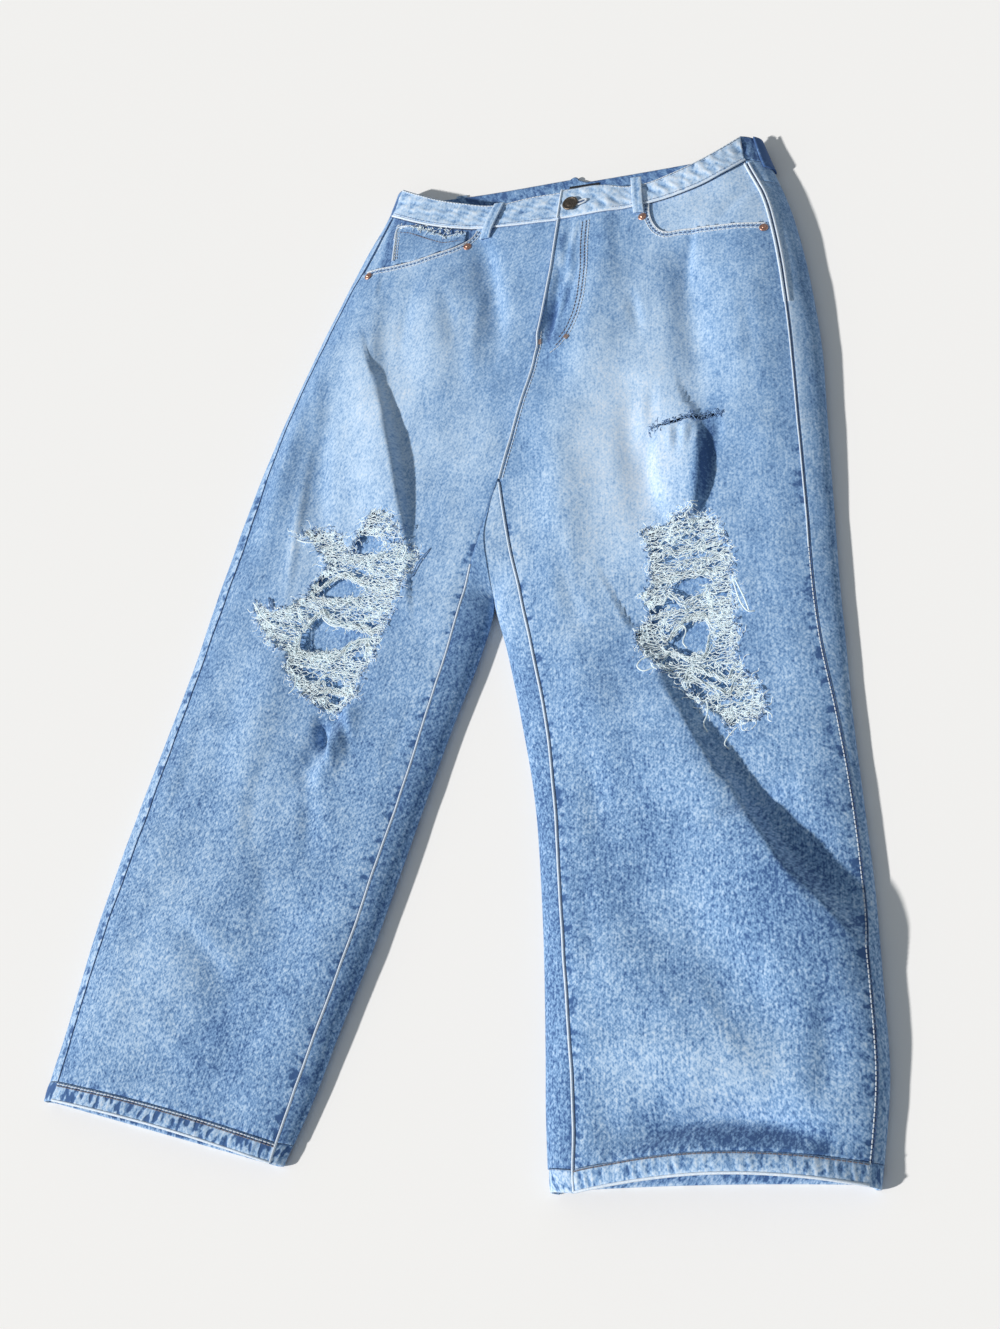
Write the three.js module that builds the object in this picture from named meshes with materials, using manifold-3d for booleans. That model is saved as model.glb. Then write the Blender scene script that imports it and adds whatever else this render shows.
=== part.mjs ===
// Ripped wide-leg jeans, laid flat on their back. Units are millimetres and +Z is up.
// X runs across the garment, with the wearer's left leg on +X, and Y runs from the hems to the waist.
// All sizes are taken from the point where the crotch seams meet. At the end the group is moved so that
// its origin is the middle of its footprint, on the surface that it lies on.

import * as THREE from 'three';
import { mergeVertices } from 'three/addons/utils/BufferGeometryUtils.js';
import Module from 'manifold-3d';

const wasm = await Module();
wasm.setup();

// Driving dimensions
const cloth = 1.2; // one layer of denim
const gap = 0.3; // between neighbouring pieces
const bandCloth = 2.4; // the waistband is two layers
const hemCloth = 2.2; // the hem is turned up
const hemTall = 18;
const hemGap = 0.6;
const pocketCloth = 1.5; // back pockets and back loops, which lie under the seat
const seatRise = pocketCloth + gap; // the seat lies on its pockets
const edgeHeight = 6; // height of the outermost line of a rolled side
const floorRadius = 10; // how far under the garment a side rolls before it lies flat
const outerRoll = 60; // how far in from the side the top cloth still rises
const innerRoll = 48;
const waistSeamMid = 303; // front waist seam at the fly
const waistSeamSide = 349;
const waistSeamBend = 2.8; // how late the waist seam turns up towards the sides
const frontTopMid = 328; // top edge of the front waistband
const frontTopSide = 383;
const backTopDip = 9; // how far the back's top edge drops between the centre and each side
const backTopBump = 7; // and how far it stands up just right of the centre
const backSeamMid = 338; // back waist seam at the centre
const backTopMid = 372; // top edge of the back waistband
const yokeSide = 321;
const yokeMid = 262;
const crotchY = 0;
const foldY = -124; // where the legs part
const flyWide = 36; // the lap at the fly
const flyLow = 152;
const flyLap = 4; // how far the left front reaches past the centre line
const zipWide = 26;
const loopWide = 12;
const loopCloth = 1.8;
const loopClear = 0.8; // a loop stands this far off the cloth under it
const buttonWide = 17;
const rivetWide = 9;

// Counts of rows down the legs and columns across them
const sideRows = 34; // from the yoke to the hem
const yokeRows = 2;
const frontColumns = 13;
const outerColumns = 6;
const floorColumns = 3;
const innerColumns = 3;
const backColumns = outerColumns + floorColumns + innerColumns;
const foldShare = 0.34; // the share of the rows above the fold between the legs

const denim = { color: 0x8fb2dc, roughness: 0.9, metalness: 0 };
const palerDenim = { color: 0xa9c6e8, roughness: 0.9, metalness: 0 };
const bareWeft = { color: 0xe9eeea, roughness: 0.95, metalness: 0 };
const labelCloth = { color: 0x16181d, roughness: 0.8, metalness: 0 };
const darkMetal = { color: 0x6d6259, roughness: 0.4, metalness: 1 };
const copper = { color: 0xd9946c, roughness: 0.35, metalness: 1 };

// The centre line: the fly and crotch seam, from the waist to where the legs part
const centreLine = [
  { y: 390, x: 15 },
  { y: 305, x: 15 },
  { y: 250, x: 16 },
  { y: 190, x: 13 },
  { y: 125, x: 6 },
  { y: 60, x: -5 },
  { y: 0, x: -13 },
  { y: -30, x: -18 },
  { y: -60, x: -20 },
  { y: -95, x: -11 },
  { y: -124, x: -5 },
];

// Each leg: the rolled side edge, the side seam inside it, and how high the front lies over the back
const leftSide = [
  { y: 390, edge: 212, seam: 196, lift: 17 },
  { y: 350, edge: 229, seam: 206, lift: 20 },
  { y: 300, edge: 251, seam: 231, lift: 23 },
  { y: 250, edge: 268, seam: 247, lift: 24 },
  { y: 190, edge: 284, seam: 261, lift: 23 },
  { y: 125, edge: 298, seam: 273, lift: 21 },
  { y: 60, edge: 307, seam: 283, lift: 19 },
  { y: -30, edge: 319, seam: 297, lift: 17 },
  { y: -124, edge: 332, seam: 311, lift: 16 },
  { y: -180, edge: 341, seam: 322, lift: 15 },
  { y: -250, edge: 352, seam: 341, lift: 15 },
  { y: -325, edge: 366, seam: 359, lift: 16 },
  { y: -400, edge: 380, seam: 373, lift: 18 },
  { y: -475, edge: 391, seam: 384, lift: 19 },
  { y: -550, edge: 401, seam: 394, lift: 20 },
  { y: -610, edge: 401, seam: 394, lift: 20 },
  { y: -668, edge: 398, seam: 391, lift: 20 },
];
const rightSide = [
  { y: 390, edge: -202, seam: -190, lift: 17 },
  { y: 350, edge: -209, seam: -198, lift: 19 },
  { y: 300, edge: -227, seam: -209, lift: 22 },
  { y: 250, edge: -243, seam: -228, lift: 23 },
  { y: 190, edge: -262, seam: -248, lift: 22 },
  { y: 125, edge: -280, seam: -268, lift: 21 },
  { y: 60, edge: -296, seam: -283, lift: 19 },
  { y: -30, edge: -314, seam: -296, lift: 18 },
  { y: -124, edge: -329, seam: -311, lift: 17 },
  { y: -180, edge: -336, seam: -320, lift: 17 },
  { y: -250, edge: -348, seam: -331, lift: 17 },
  { y: -325, edge: -362, seam: -342, lift: 18 },
  { y: -400, edge: -374, seam: -353, lift: 20 },
  { y: -475, edge: -384, seam: -364, lift: 21 },
  { y: -550, edge: -390, seam: -374, lift: 20 },
  { y: -610, edge: -397, seam: -381, lift: 16 },
  { y: -668, edge: -404, seam: -388, lift: 12 },
];

// The inside of each leg: the inner leg seam, and the rolled edge beyond it
const leftInside = [
  { y: 0, seam: -13, edge: -13 },
  { y: -60, seam: 4, edge: -20 },
  { y: -124, seam: 27, edge: -5 },
  { y: -180, seam: 47, edge: 18 },
  { y: -250, seam: 71, edge: 43 },
  { y: -325, seam: 90, edge: 67 },
  { y: -400, seam: 106, edge: 84 },
  { y: -475, seam: 122, edge: 98 },
  { y: -550, seam: 138, edge: 110 },
  { y: -610, seam: 149, edge: 119 },
  { y: -668, seam: 158, edge: 130 },
];
const rightInside = [
  { y: 0, seam: -13, edge: -13 },
  { y: -60, seam: -25, edge: -20 },
  { y: -124, seam: -33, edge: -5 },
  { y: -180, seam: -40, edge: -11 },
  { y: -250, seam: -52, edge: -28 },
  { y: -325, seam: -64, edge: -44 },
  { y: -400, seam: -78, edge: -59 },
  { y: -475, seam: -92, edge: -75 },
  { y: -550, seam: -109, edge: -94 },
  { y: -610, seam: -123, edge: -108 },
  { y: -668, seam: -136, edge: -126 },
];

// The largest folds. Each runs from one point through a second to a third, rises by rise (or sinks, below 0),
// and dies away over the width given for the side on the left and on the right of its direction.
const folds = [
  { name: 'left knee ridge', from: [150, -172], by: [216, -268], to: [296, -372], rise: 12, left: 9, right: 60 },
  { name: 'left shin ridge', from: [252, -318], by: [318, -398], to: [404, -474], rise: 20, left: 9, right: 76 },
  { name: 'left shin notch', from: [246, -352], by: [274, -334], to: [304, -322], rise: -6, left: 9, right: 7 },
  { name: 'left shin hollow', from: [205, -250], by: [290, -345], to: [385, -425], rise: -5, left: 26, right: 12 },
  { name: 'left shin swell', from: [150, -420], by: [215, -520], to: [330, -560], rise: 9, left: 45, right: 50 },
  { name: 'left knee swell', from: [95, -150], by: [110, -240], to: [150, -330], rise: 8, left: 34, right: 26 },
  { name: 'left hem arch', from: [140, -652], by: [270, -636], to: [400, -640], rise: 11, left: 20, right: 22 },
  { name: 'left hem hollow', from: [185, -612], by: [280, -592], to: [365, -604], rise: -9, left: 16, right: 14 },
  { name: 'left thigh puff', from: [178, 62], by: [197, -8], to: [184, -74], rise: 12, left: 5, right: 32 },
  { name: 'left thigh hollow', from: [146, 44], by: [141, 0], to: [168, -66], rise: -5, left: 9, right: 10 },
  { name: 'left thigh valley', from: [112, 92], by: [126, 10], to: [146, -60], rise: -5, left: 12, right: 13 },
  { name: 'left pocket valley', from: [148, 262], by: [166, 180], to: [190, 70], rise: -8, left: 18, right: 16 },
  { name: 'left hip swell', from: [210, 240], by: [225, 150], to: [240, 40], rise: 5, left: 26, right: 26 },
  { name: 'left fly swell', from: [60, 270], by: [70, 170], to: [60, 70], rise: 6, left: 28, right: 28 },
  { name: 'left inner drape', from: [20, 90], by: [60, -40], to: [70, -180], rise: 6, left: 22, right: 22 },
  { name: 'fly crease', from: [28, 225], by: [20, 188], to: [12, 150], rise: -5, left: 9, right: 7 },
  { name: 'right fly crease', from: [-82, 296], by: [-56, 232], to: [-36, 150], rise: -8, left: 11, right: 16 },
  { name: 'right hip swell', from: [-120, 270], by: [-110, 180], to: [-90, 80], rise: 6, left: 30, right: 30 },
  { name: 'right thigh ridge', from: [-172, 128], by: [-133, 30], to: [-100, -84], rise: 15, left: 6, right: 44 },
  { name: 'right thigh shoulder', from: [-190, 226], by: [-181, 150], to: [-156, 84], rise: 6, left: 11, right: 34 },
  { name: 'right thigh hollow', from: [-228, 90], by: [-222, 10], to: [-205, -60], rise: -6, left: 16, right: 20 },
  { name: 'right outer drape', from: [-240, 160], by: [-262, 60], to: [-275, -60], rise: 5, left: 16, right: 14 },
  { name: 'right knee hollow', from: [-150, -232], by: [-158, -262], to: [-172, -306], rise: -9, left: 10, right: 12 },
  { name: 'right knee ridge', from: [-134, -236], by: [-140, -275], to: [-160, -330], rise: 7, left: 12, right: 10 },
  { name: 'right knee swell', from: [-235, -150], by: [-232, -240], to: [-240, -340], rise: 7, left: 28, right: 28 },
  { name: 'right shin swell', from: [-190, -400], by: [-250, -450], to: [-300, -540], rise: 7, left: 40, right: 36 },
  { name: 'right shin hollow', from: [-130, -440], by: [-190, -500], to: [-250, -590], rise: -6, left: 26, right: 28 },
  { name: 'right hem arch', from: [-385, -640], by: [-250, -650], to: [-135, -662], rise: 4, left: 14, right: 16 },
];

// Pocket mouths, from the waist seam to the side seam
const leftMouth = [[111, 312], [113, 296], [117, 284], [124, 273], [133, 267], [145, 269], [187, 267], [238, 265]];
const rightMouth = [[-84, 306], [-87, 298], [-94, 290], [-106, 284], [-146, 275], [-180, 272], [-214, 272]];
const coinPocket = [[-186, 328], [-164, 324], [-138, 311], [-119, 302], [-96, 304], [-95, 291.5], [-107, 285], [-147, 276],
  [-181, 273]];
const facingDeep = 22; // how far a pocket's facing reaches in under the front

// Rips: the outline of each worn-through area, and the gaps between the bare threads that still cross it
const rightRip = [
  [-244, -44], [-207, -41], [-192, -47], [-174, -60], [-168, -76], [-158, -49], [-147, -31], [-129, -33],
  [-111, -54], [-102, -71], [-90, -76], [-93, -91], [-101, -110], [-107, -135], [-116, -162], [-118, -184],
  [-129, -204], [-130, -225], [-141, -236], [-155, -244], [-170, -238], [-196, -220], [-213, -201],
  [-216, -180], [-244, -165], [-258, -142], [-268, -125], [-247, -132], [-226, -127], [-207, -117],
  [-203, -104], [-190, -88], [-197, -70], [-221, -52],
];
const rightGaps = [
  [[-171, -62], [-160, -52], [-137, -57], [-128, -63], [-127, -75], [-150, -76], [-172, -72]],
  [[-177, -99], [-166, -99], [-144, -110], [-145, -121], [-172, -122], [-202, -118], [-192, -109]],
  [[-199, -148], [-188, -138], [-176, -150], [-155, -156], [-140, -158], [-126, -165], [-150, -171], [-157, -180],
    [-187, -181], [-208, -176]],
  [[-193, -205], [-178, -204], [-176, -211], [-189, -213]],
  [[-172, -207], [-151, -210], [-150, -218], [-164, -218]],
  [[-173, -225], [-160, -225], [-143, -229], [-150, -235]],
  [[-161, -89], [-148, -94], [-147, -100], [-159, -98]],
];
const leftRip = [
  [143, -65], [167, -63], [187, -50], [208, -53], [221, -70], [233, -95], [235, -114], [241, -135], [240, -157],
  [249, -176], [246, -198], [267, -221], [277, -243], [274, -255], [260, -257], [248, -266], [236, -249],
  [213, -237], [197, -216], [174, -203], [152, -182], [152, -171], [161, -160], [162, -148], [152, -133],
  [160, -124], [158, -105], [154, -84],
];
const leftGaps = [
  [[174, -126], [181, -119], [206, -115], [215, -118], [215, -128], [203, -135], [190, -140], [184, -133]],
  [[198, -160], [218, -158], [219, -179], [222, -191], [206, -196], [179, -187], [186, -174]],
  [[203, -210], [219, -212], [230, -217], [246, -224], [244, -229], [222, -220]],
  [[168, -93], [179, -92], [179, -99], [170, -100]],
  [[195, -89], [207, -91], [206, -98], [196, -97]],
  [[184, -105], [193, -104], [192, -111], [185, -110]],
  [[188, -71], [203, -74], [202, -79], [190, -77]],
  [[212, -100], [220, -103], [219, -109], [212, -107]],
];
const slit = [[138, 41], [150, 46.5], [164, 47.5], [181, 52.5], [189, 51.5], [200, 53.5], [214, 51], [200, 49.5],
  [190, 46], [180, 48], [164, 43.5], [150, 43]];

const lerp = THREE.MathUtils.lerp;
const clamp = THREE.MathUtils.clamp;
const smooth = THREE.MathUtils.smoothstep;

// A smooth curve through one column of a table, as a function of y. The rows run from high y to low y.
function through(table, column) {
  const slope = (i) => {
    const a = table[Math.max(i - 1, 0)];
    const b = table[Math.min(i + 1, table.length - 1)];
    return (b[column] - a[column]) / (b.y - a.y);
  };
  return (y) => {
    const found = table.findIndex((row) => row.y <= y);
    const i = clamp(found < 0 ? table.length - 2 : found - 1, 0, table.length - 2);
    const [a, b] = [table[i], table[i + 1]];
    const span = b.y - a.y;
    const t = (y - a.y) / span;
    if (t < 0) return a[column] + (y - a.y) * slope(i);
    if (t > 1) return b[column] + (y - b.y) * slope(i + 1);
    return (
      a[column] * (1 - t) ** 2 * (1 + 2 * t) +
      b[column] * t * t * (3 - 2 * t) +
      span * (slope(i) * t * (1 - t) ** 2 + slope(i + 1) * t * t * (t - 1))
    );
  };
}

const centre = through(centreLine, 'x');
const legs = {
  left: makeLeg('left', 1, leftSide, leftInside, 2.7, { inner: -667, outer: -638, recess: 14, floorRecess: 8 }),
  right: makeLeg('right', -1, rightSide, rightInside, 2.2, { inner: -669, outer: -634, recess: 3, floorRecess: 0 }),
};

function makeLeg(name, sign, side, inside, topBend, hem) {
  const innerEdge = through(inside, 'edge');
  const innerSeam = through(inside, 'seam');
  return {
    name,
    sign,
    topBend,
    hem,
    edge: through(side, 'edge'),
    seam: through(side, 'seam'),
    lift: through(side, 'lift'),
    innerEdge: (y) => (y > foldY ? centre(y) : innerEdge(y)),
    innerSeam: (y) => (y > crotchY ? centre(y) : innerSeam(y)),
  };
}

// How far the cloth has risen at a distance in from a rolled edge, from 0 at the edge to 1
const rise = (distance, roll) => Math.sqrt(1 - (1 - clamp(distance / roll, 0, 1)) ** 2);

// Height of the lowest layer's underside: the seat lies on its pockets and the legs lie on the floor
const underside = (y) => seatRise * smooth(y, -60, 20);

for (const fold of folds) {
  const [a, b, c] = [fold.from, fold.by, fold.to].map((p) => new THREE.Vector2(...p));
  const control = b.clone().multiplyScalar(2).sub(a.clone().add(c).multiplyScalar(0.5));
  fold.line = new THREE.QuadraticBezierCurve(a, control, c).getPoints(10);
}

function foldHeight(fold, x, y) {
  let nearest = { distance: Infinity };
  for (let i = 0; i < fold.line.length - 1; i++) {
    const [a, b] = [fold.line[i], fold.line[i + 1]];
    const [dx, dy] = [b.x - a.x, b.y - a.y];
    const t = clamp(((x - a.x) * dx + (y - a.y) * dy) / (dx * dx + dy * dy), 0, 1);
    const [ox, oy] = [x - a.x - t * dx, y - a.y - t * dy];
    const distance = Math.hypot(ox, oy);
    if (distance < nearest.distance) {
      nearest = { distance, onLeft: dx * oy - dy * ox > 0, along: (i + t) / (fold.line.length - 1) };
    }
  }
  const width = nearest.onLeft ? fold.left : fold.right;
  const taper = Math.sin(Math.PI * clamp(nearest.along, 0.06, 0.94)) ** 0.7;
  return fold.rise * taper * Math.exp(-((nearest.distance / width) ** 2));
}

// Height of the outer face of the top layer
function topHeight(leg, x, y) {
  const out = leg.sign * (leg.edge(y) - x);
  const inside = (y < foldY ? leg.sign * (x - leg.innerEdge(y)) : Math.hypot(x - centre(foldY), y - foldY)) - gap / 2;
  let height = leg.lift(y) * rise(out, outerRoll) * rise(inside, innerRoll);
  for (const fold of folds) height += foldHeight(fold, x, y) * rise(out, 34) * rise(inside, 26);
  return underside(y) + edgeHeight + Math.max(height, 0);
}

const onTop = (leg, x, y) => new THREE.Vector3(x, y, topHeight(leg, x, y));

// Waist and hem lines across a front, from the centre or inner seam (s = 0) to the side seam (s = 1)
const waistSeam = (s) => lerp(waistSeamMid, waistSeamSide, Math.max(s, 0) ** waistSeamBend);
const waistTop = (leg, s) => lerp(frontTopMid, frontTopSide, Math.max(s, 0) ** leg.topBend);
const hemLine = (leg, s) => lerp(leg.hem.inner, leg.hem.outer, s);
const frontHem = (leg, s) => hemLine(leg, s) + leg.hem.recess * Math.sin(Math.PI * clamp(s, 0, 1));

// Columns are closer together near the rolled sides
const columnAt = (c) => lerp(c, (1 - Math.cos(Math.PI * clamp(c, 0, 1))) / 2, 0.55);

// A point on a front, s of the way from its inner seam to its side seam, or further in by a lap
function frontPoint(leg, s, y, lap = 0) {
  const inner = leg.innerSeam(y) + (leg.sign * gap) / 2;
  const outer = leg.seam(y) - (leg.sign * gap) / 2;
  return onTop(leg, lerp(inner, outer, s) - lap, y);
}

// The roll at a side, from the side seam on top (q = 0) round the edge to where the cloth lies flat (q = 1)
function outerRound(leg, q, y) {
  const edge = leg.edge(y);
  if (q <= 0.5) {
    const width = Math.abs(edge - leg.seam(y)) - gap / 2;
    return onTop(leg, edge - leg.sign * width * (1 - 2 * q) ** 2, y);
  }
  const turn = Math.PI * (q - 0.5);
  const x = edge - leg.sign * floorRadius * (1 - Math.cos(turn));
  return new THREE.Vector3(x, y, underside(y) + edgeHeight * (1 - Math.sin(turn)));
}

// The roll at the inside of a leg, from where the cloth lies flat (q = 0) up to the edge (q = 1).
// Above the fold between the legs it stays flat and ends at the centre seam.
function innerRound(leg, q, y) {
  const lifted = smooth(-y, -foldY - 30, -foldY);
  const turn = (Math.PI / 2) * (1 - q);
  const edge = leg.innerEdge(y) + (leg.sign * gap) / 2;
  const x = edge + leg.sign * floorRadius * (1 - Math.cos(turn));
  return new THREE.Vector3(x, y, underside(y) + lifted * edgeHeight * (1 - Math.sin(turn)));
}

// The strip on top between the inner leg seam (q = 0) and the inside edge or the centre seam (q = 1)
function innerStrip(leg, q, y) {
  const edge = leg.innerEdge(y) + (leg.sign * gap) / 2;
  const width = Math.max(leg.sign * (leg.innerSeam(y) - edge) - gap / 2, 0);
  return onTop(leg, edge + leg.sign * width * (1 - q) ** 2, y);
}

// Across the whole back of one leg, from the side seam (c = 0) to the inside edge or centre seam (c = 1)
function backPoint(leg, c, outerY, innerY) {
  const k = c * backColumns;
  if (k <= outerColumns) return outerRound(leg, k / outerColumns, outerY);
  const onFloor = (k - outerColumns) / floorColumns;
  if (onFloor < 1) return outerRound(leg, 1, outerY).lerp(innerRound(leg, 0, innerY), onFloor);
  return innerRound(leg, (k - outerColumns - floorColumns) / innerColumns, innerY);
}

// The side of the hem that lies on the floor is also drawn up a little in its middle
function floorRecess(leg, c) {
  const across = (c * backColumns - outerColumns + 1) / (floorColumns + 2);
  return leg.hem.floorRecess * Math.sin(Math.PI * clamp(across, 0, 1));
}

// Builds a closed wall from patches of its outer face. A patch gives a point for each column c and row r,
// from 0 to 1. Where it says so, it is also followed past its own first or last column and row, so that
// pieces which meet at a seam have edges that lean the same way.
function wall(patches, thickness) {
  const skin = merge(patches, false);
  const wider = merge(patches, true);
  const normals = new Map();
  for (let i = 0; i < wider.attributes.position.count; i++) {
    const normal = new THREE.Vector3().fromBufferAttribute(wider.attributes.normal, i);
    normals.set(keyOf(wider.attributes.position, i), normal);
  }
  const { position } = skin.attributes;
  const count = position.count;
  const points = [];
  for (const inward of [0, thickness]) {
    for (let i = 0; i < count; i++) {
      const point = new THREE.Vector3().fromBufferAttribute(position, i);
      points.push(point.addScaledVector(normals.get(keyOf(position, i)), -inward));
    }
  }
  const index = Array.from(skin.index.array);
  const triangles = [...index];
  const edges = new Set();
  for (let i = 0; i < index.length; i += 3) {
    const [a, b, c] = index.slice(i, i + 3);
    triangles.push(a + count, c + count, b + count);
    for (const edge of [[a, b], [b, c], [c, a]]) edges.add(edge.join());
  }
  for (const edge of edges) {
    const [a, b] = edge.split(',').map(Number);
    if (!edges.has([b, a].join())) triangles.push(b, a, a + count, b, a + count, b + count);
  }
  return solidOf(new THREE.BufferGeometry().setFromPoints(points).setIndex(triangles));
}

const keyOf = (position, i) => [position.getX(i), position.getY(i), position.getZ(i)].map((v) => v.toFixed(2)).join();

function merge(patches, wider) {
  const points = [];
  const triangles = [];
  for (const { columns, rows, at, flip, past = '' } of patches) {
    const extra = (side) => (wider && past.includes(side) ? 1 : 0);
    const [c0, c1, r0, r1] = [-extra('<'), columns + extra('>'), -extra('^'), rows + extra('v')];
    const start = points.length;
    const wide = c1 - c0 + 1;
    for (let r = r0; r <= r1; r++) {
      for (let c = c0; c <= c1; c++) {
        const [cNear, rNear] = [clamp(c, 0, columns), clamp(r, 0, rows)];
        const [cPast, rPast] = [(c - cNear) * 0.25, (r - rNear) * 0.25];
        const p = at((cNear + cPast) / columns, (rNear + rPast) / rows);
        points.push(new THREE.Vector3(...p.toArray().map((v) => Number(v.toFixed(2)))));
      }
    }
    for (let r = 0; r < r1 - r0; r++) {
      for (let c = 0; c < wide - 1; c++) {
        const a = start + r * wide + c;
        const corners = [a, a + wide, a + wide + 1, a + 1];
        if (flip) corners.reverse();
        triangles.push(corners[0], corners[1], corners[2], corners[0], corners[2], corners[3]);
      }
    }
  }
  const merged = mergeVertices(new THREE.BufferGeometry().setFromPoints(points).setIndex(triangles), 0.004);
  merged.setIndex(keepProper(Array.from(merged.index.array)));
  merged.computeVertexNormals();
  return merged;
}

// Leaves out triangles that merging has brought to nothing
function keepProper(index) {
  const kept = [];
  for (let i = 0; i < index.length; i += 3) {
    const [a, b, c] = index.slice(i, i + 3);
    if (a !== b && b !== c && c !== a) kept.push(a, b, c);
  }
  return kept;
}

function solidOf(geometry) {
  const bare = geometry.clone();
  bare.deleteAttribute('normal');
  bare.deleteAttribute('uv');
  const merged = mergeVertices(bare, 1e-4);
  return new wasm.Manifold(
    new wasm.Mesh({
      numProp: 3,
      vertProperties: merged.attributes.position.array,
      triVerts: Uint32Array.from(keepProper(Array.from(merged.index.array))),
    }),
  );
}

function geometryOf(solid) {
  const mesh = solid.getMesh();
  const geometry = new THREE.BufferGeometry();
  geometry.setAttribute('position', new THREE.BufferAttribute(mesh.vertProperties, 3));
  geometry.setIndex(new THREE.BufferAttribute(mesh.triVerts, 1));
  geometry.computeVertexNormals();
  return geometry;
}

// An upright block with the given outline
function upright(outline, low, high) {
  const shape = new THREE.Shape(outline.map((p) => new THREE.Vector2(...p)));
  const geometry = new THREE.ExtrudeGeometry(shape, { depth: high - low, bevelEnabled: false });
  return solidOf(geometry.translate(0, 0, low));
}

const aboveBack = 9; // cuts through the front stop here, clear of the back on the floor
const aboveAll = 120;
const cutFront = (outline) => upright(outline, aboveBack, aboveAll);

// What is left of such a block when its sides are moved in by a distance
function shrunk(outline, distance) {
  const block = cutFront(outline);
  let kept = block;
  for (let i = 0; i < 8; i++) {
    const turn = (i * Math.PI) / 4;
    kept = kept.intersect(block.translate(distance * Math.cos(turn), distance * Math.sin(turn), 0));
  }
  return kept;
}

const group = new THREE.Group();

function addMesh(name, geometry, look) {
  const mesh = new THREE.Mesh(geometry, new THREE.MeshStandardMaterial(look));
  mesh.name = name;
  group.add(mesh);
  return mesh;
}
const add = (name, solid, look) => addMesh(name, geometryOf(solid), look);

// Rows down the side seam are shared by a front and its back
const sideLow = (leg) => hemLine(leg, 1) + hemTall + hemGap;
const sideY = (leg, k) => lerp(yokeSide - gap / 2, sideLow(leg), k / sideRows);

// How far past the centre line the left front reaches, and how high it lies on what is under the fly
const lapAt = (leg, y) => (leg.sign > 0 ? flyLap * smooth(y, flyLow - 8, flyLow + 14) : 0);
function lapRise(leg, point, lowY, height) {
  if (leg.sign < 0) return 0;
  const across = point.x - centre(point.y);
  return height * smooth(point.y, lowY - 30, lowY) * (1 - smooth(across, flyWide + 12, flyWide + 34));
}

// The whole front of one leg. Height moves it away from the form: what lies under it is made the same way.
function frontSheet(leg, height, lapped) {
  const frontRows = yokeRows + sideRows;
  const [highSide, lowSide] = [waistSeamSide - gap, sideLow(leg)];
  const laps = lapped && leg.sign > 0 ? 1 : 0; // the lap is one more column
  const skin = { columns: frontColumns + laps, rows: frontRows, flip: leg.sign < 0, past: '<>^v' };
  skin.at = (c, r) => {
    const k = r * frontRows - yokeRows;
    const side = k < 0 ? lerp(yokeSide - gap / 2, highSide, -k / yokeRows) : sideY(leg, k);
    const sideShare = (highSide - side) / (highSide - lowSide);
    const column = (c * skin.columns - laps) / frontColumns;
    const onLap = laps && column < -0.01;
    const s = onLap ? 0 : columnAt(column) + (column - clamp(column, 0, 1)) * 0.4;
    const y = lerp(waistSeam(s) - gap, frontHem(leg, s) + hemTall + hemGap, lerp(r, sideShare, s));
    const point = frontPoint(leg, s, y, onLap ? lapAt(leg, y) : 0);
    point.z += height + (laps ? lapRise(leg, point, flyLow, cloth + gap) : 0);
    return point;
  };
  return wall([skin], cloth);
}

// The area of a pocket's mouth, out past the side seam and the waist seam
function mouthArea(leg, mouth) {
  const [first, last] = [mouth[0], mouth.at(-1)];
  const beyond = last[0] + leg.sign * 40;
  return [[first[0], first[1] + 40], ...mouth, [beyond, last[1]], [beyond, first[1] + 60]];
}

function addFront(leg, mouth, rip, gaps, cuts) {
  const sheet = frontSheet(leg, 0, true);
  let front = sheet.subtract(cutFront(mouthArea(leg, mouth))).subtract(cutFront(rip));
  for (const cut of cuts) front = front.subtract(cutFront(cut));
  let weft = sheet.intersect(shrunk(rip, gap));
  for (const hole of gaps) weft = weft.subtract(cutFront(hole));
  add(`front_${leg.name}`, front, denim);
  add(`weft_${leg.name}`, weft, bareWeft);
}

const box = (x0, x1, y0, y1) => [[x0, y0], [x1, y0], [x1, y1], [x0, y1]];

// The cloth that shows in a pocket's mouth lies one layer under the front
function addFacing(leg, mouth) {
  const [first, last] = [mouth[0], mouth.at(-1)];
  const area = box(first[0] - leg.sign * facingDeep, last[0] + leg.sign * 40, last[1] - facingDeep, 400);
  add(`pocket_facing_${leg.name}`, frontSheet(leg, -(cloth + gap), false).intersect(cutFront(area)), palerDenim);
}

function addCoinPocket(leg) {
  add('coin_pocket', frontSheet(leg, 0, false).intersect(shrunk(coinPocket, gap)), denim);
}

// Under the left front's edge: the shield that carries on from the right front, and the zip below it
function addFly(leg) {
  const strip = (wide, low) => {
    const rows = [0, 1, 2, 3, 4, 5, 6].map((k) => lerp(waistSeamMid - 1, low, k / 6));
    const inner = rows.map((y) => [centre(y) + gap, y]);
    return cutFront([...inner, ...rows.reverse().map((y) => [centre(y) + wide, y])]);
  };
  add('fly_shield', frontSheet(leg, 0, false).intersect(strip(flyWide - 2, flyLow + 4)), denim);
  add('zip_tape', frontSheet(leg, -(cloth + gap), false).intersect(strip(zipWide, flyLow + 12)), denim);
}

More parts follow.
